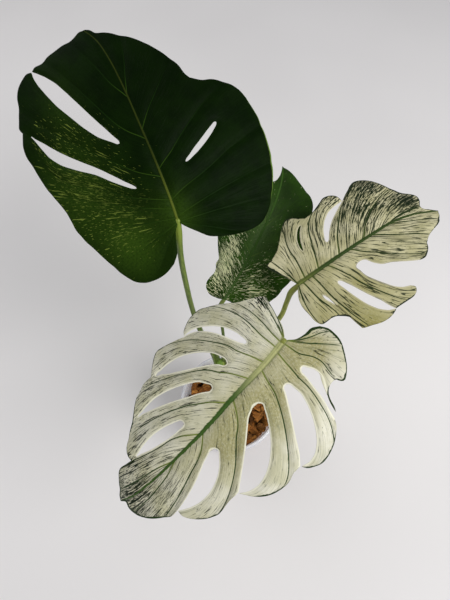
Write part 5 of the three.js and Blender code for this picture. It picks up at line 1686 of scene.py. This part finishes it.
class PlantSettings(bpy.types.PropertyGroup):
    """All settings of the plant."""

    pot: group("Pot", "Clear nursery pot", PotSettings)
    bed: group("Bed", "Coconut husk chips", BedSettings)
    stem: group("Stem", "Stem and roots", StemSettings)
    green_stalk: group("Green stalks", "Stalks of the dark and marbled leaves", GreenStalkColours)
    olive_stalk: group("Olive stalks", "Stalks of the right and front leaves", OliveStalkColours)
    blade: group("Blades", "Shape of all blades", BladeShape)
    front_leaf: group("Front leaf", "Colours of the front leaf", FrontLeafColours)
    right_leaf: group("Right leaf", "Colours of the right leaf", RightLeafColours)
    dark_leaf: group("Dark leaf", "Colours of the dark leaf", DarkLeafColours)
    marbled_leaf: group("Marbled leaf", "Colours of the marbled leaf", MarbledLeafColours)
    stage: group("Stage", "Camera, light, floor", StageSettings)


# One operator for each piece or group of like pieces


class MONSTERA_OT_stage(bpy.types.Operator):
    """Make the floor, the lamps and the camera"""

    bl_idname = "monstera.stage"
    bl_label = "Stage"

    def execute(self, context):
        set_up_stage(context.scene.monstera.stage)
        return {"FINISHED"}


class MONSTERA_OT_pot(bpy.types.Operator):
    """Make the clear nursery pot"""

    bl_idname = "monstera.pot"
    bl_label = "Pot"

    def execute(self, context):
        plant = context.scene.monstera
        if plant.pot.rim_radius <= plant.pot.mouth_radius:
            raise ValueError("the rim has to stand out beyond the pot's mouth")
        clear_pot(plant.pot)
        return {"FINISHED"}


class MONSTERA_OT_husk(bpy.types.Operator):
    """Make the bed of coconut husk chips"""

    bl_idname = "monstera.husk"
    bl_label = "Husk chips"

    def execute(self, context):
        plant = context.scene.monstera
        husk_bed(plant.bed, plant.pot)
        return {"FINISHED"}


class MONSTERA_OT_roots(bpy.types.Operator):
    """Make the roots in the chips"""

    bl_idname = "monstera.roots"
    bl_label = "Roots"

    def execute(self, context):
        root_system(context.scene.monstera.stem)
        return {"FINISHED"}


class MONSTERA_OT_stem(bpy.types.Operator):
    """Make the main stem"""

    bl_idname = "monstera.stem"
    bl_label = "Stem"

    def execute(self, context):
        main_stem(context.scene.monstera.stem)
        return {"FINISHED"}


class MONSTERA_OT_stalks(bpy.types.Operator):
    """Make the four leaf stalks"""

    bl_idname = "monstera.stalks"
    bl_label = "Leaf stalks"

    def execute(self, context):
        plant = context.scene.monstera
        green = stalk_finish("green_stalk_skin", plant.green_stalk)
        olive = stalk_finish("olive_stalk_skin", plant.olive_stalk)
        for leaf in (DARK_LEAF, MARBLED_LEAF):
            leaf_stalk(leaf, green)
        for leaf in (RIGHT_LEAF, FRONT_LEAF):
            leaf_stalk(leaf, olive)
        return {"FINISHED"}


class MONSTERA_OT_blades(bpy.types.Operator):
    """Make the four leaf blades"""

    bl_idname = "monstera.blades"
    bl_label = "Leaf blades"

    def execute(self, context):
        plant = context.scene.monstera
        if plant.blade.thickness <= 0:
            raise ValueError("a blade needs a thickness")
        for leaf in (DARK_LEAF, MARBLED_LEAF, RIGHT_LEAF, FRONT_LEAF):
            leaf_blade(leaf, plant.blade, getattr(plant, leaf["name"]))
        return {"FINISHED"}


class MONSTERA_PT_parts(bpy.types.Panel):
    """Buttons for the pieces and their settings"""

    bl_label = "Potted monstera"
    bl_idname = "MONSTERA_PT_parts"
    bl_space_type = "VIEW_3D"
    bl_region_type = "UI"
    bl_category = "Monstera"

    def draw(self, context):
        for operator in OPERATORS:
            self.layout.operator(operator.bl_idname)
        for part in context.scene.monstera.bl_rna.properties:
            if part.type == "POINTER" and part.identifier not in ("rna_type", "id_data"):
                box = self.layout.box()
                box.label(text=part.name)
                settings = getattr(context.scene.monstera, part.identifier)
                for setting in settings.__annotations__:
                    box.prop(settings, setting)


GROUPS = (PotSettings, BedSettings, StemSettings, GreenStalkColours, OliveStalkColours, BladeShape,
          FrontLeafColours, RightLeafColours, DarkLeafColours, MarbledLeafColours, StageSettings,
          PlantSettings)
OPERATORS = (MONSTERA_OT_stage, MONSTERA_OT_pot, MONSTERA_OT_husk, MONSTERA_OT_roots, MONSTERA_OT_stem,
             MONSTERA_OT_stalks, MONSTERA_OT_blades)


def register():
    """Makes the settings, the operators and the panel known."""
    for item in (*GROUPS, *OPERATORS, MONSTERA_PT_parts):
        bpy.utils.register_class(item)
    bpy.types.Scene.monstera = bpy.props.PointerProperty(type=PlantSettings)


def unregister():
    """Takes them away again."""
    del bpy.types.Scene.monstera
    for item in (MONSTERA_PT_parts, *reversed(OPERATORS), *reversed(GROUPS)):
        bpy.utils.unregister_class(item)


def main():
    """Makes the stage and every piece."""
    register()
    bpy.ops.monstera.stage()
    bpy.ops.monstera.pot()
    bpy.ops.monstera.husk()
    bpy.ops.monstera.roots()
    bpy.ops.monstera.stem()
    bpy.ops.monstera.stalks()
    bpy.ops.monstera.blades()


if __name__ == "__main__":
    main()
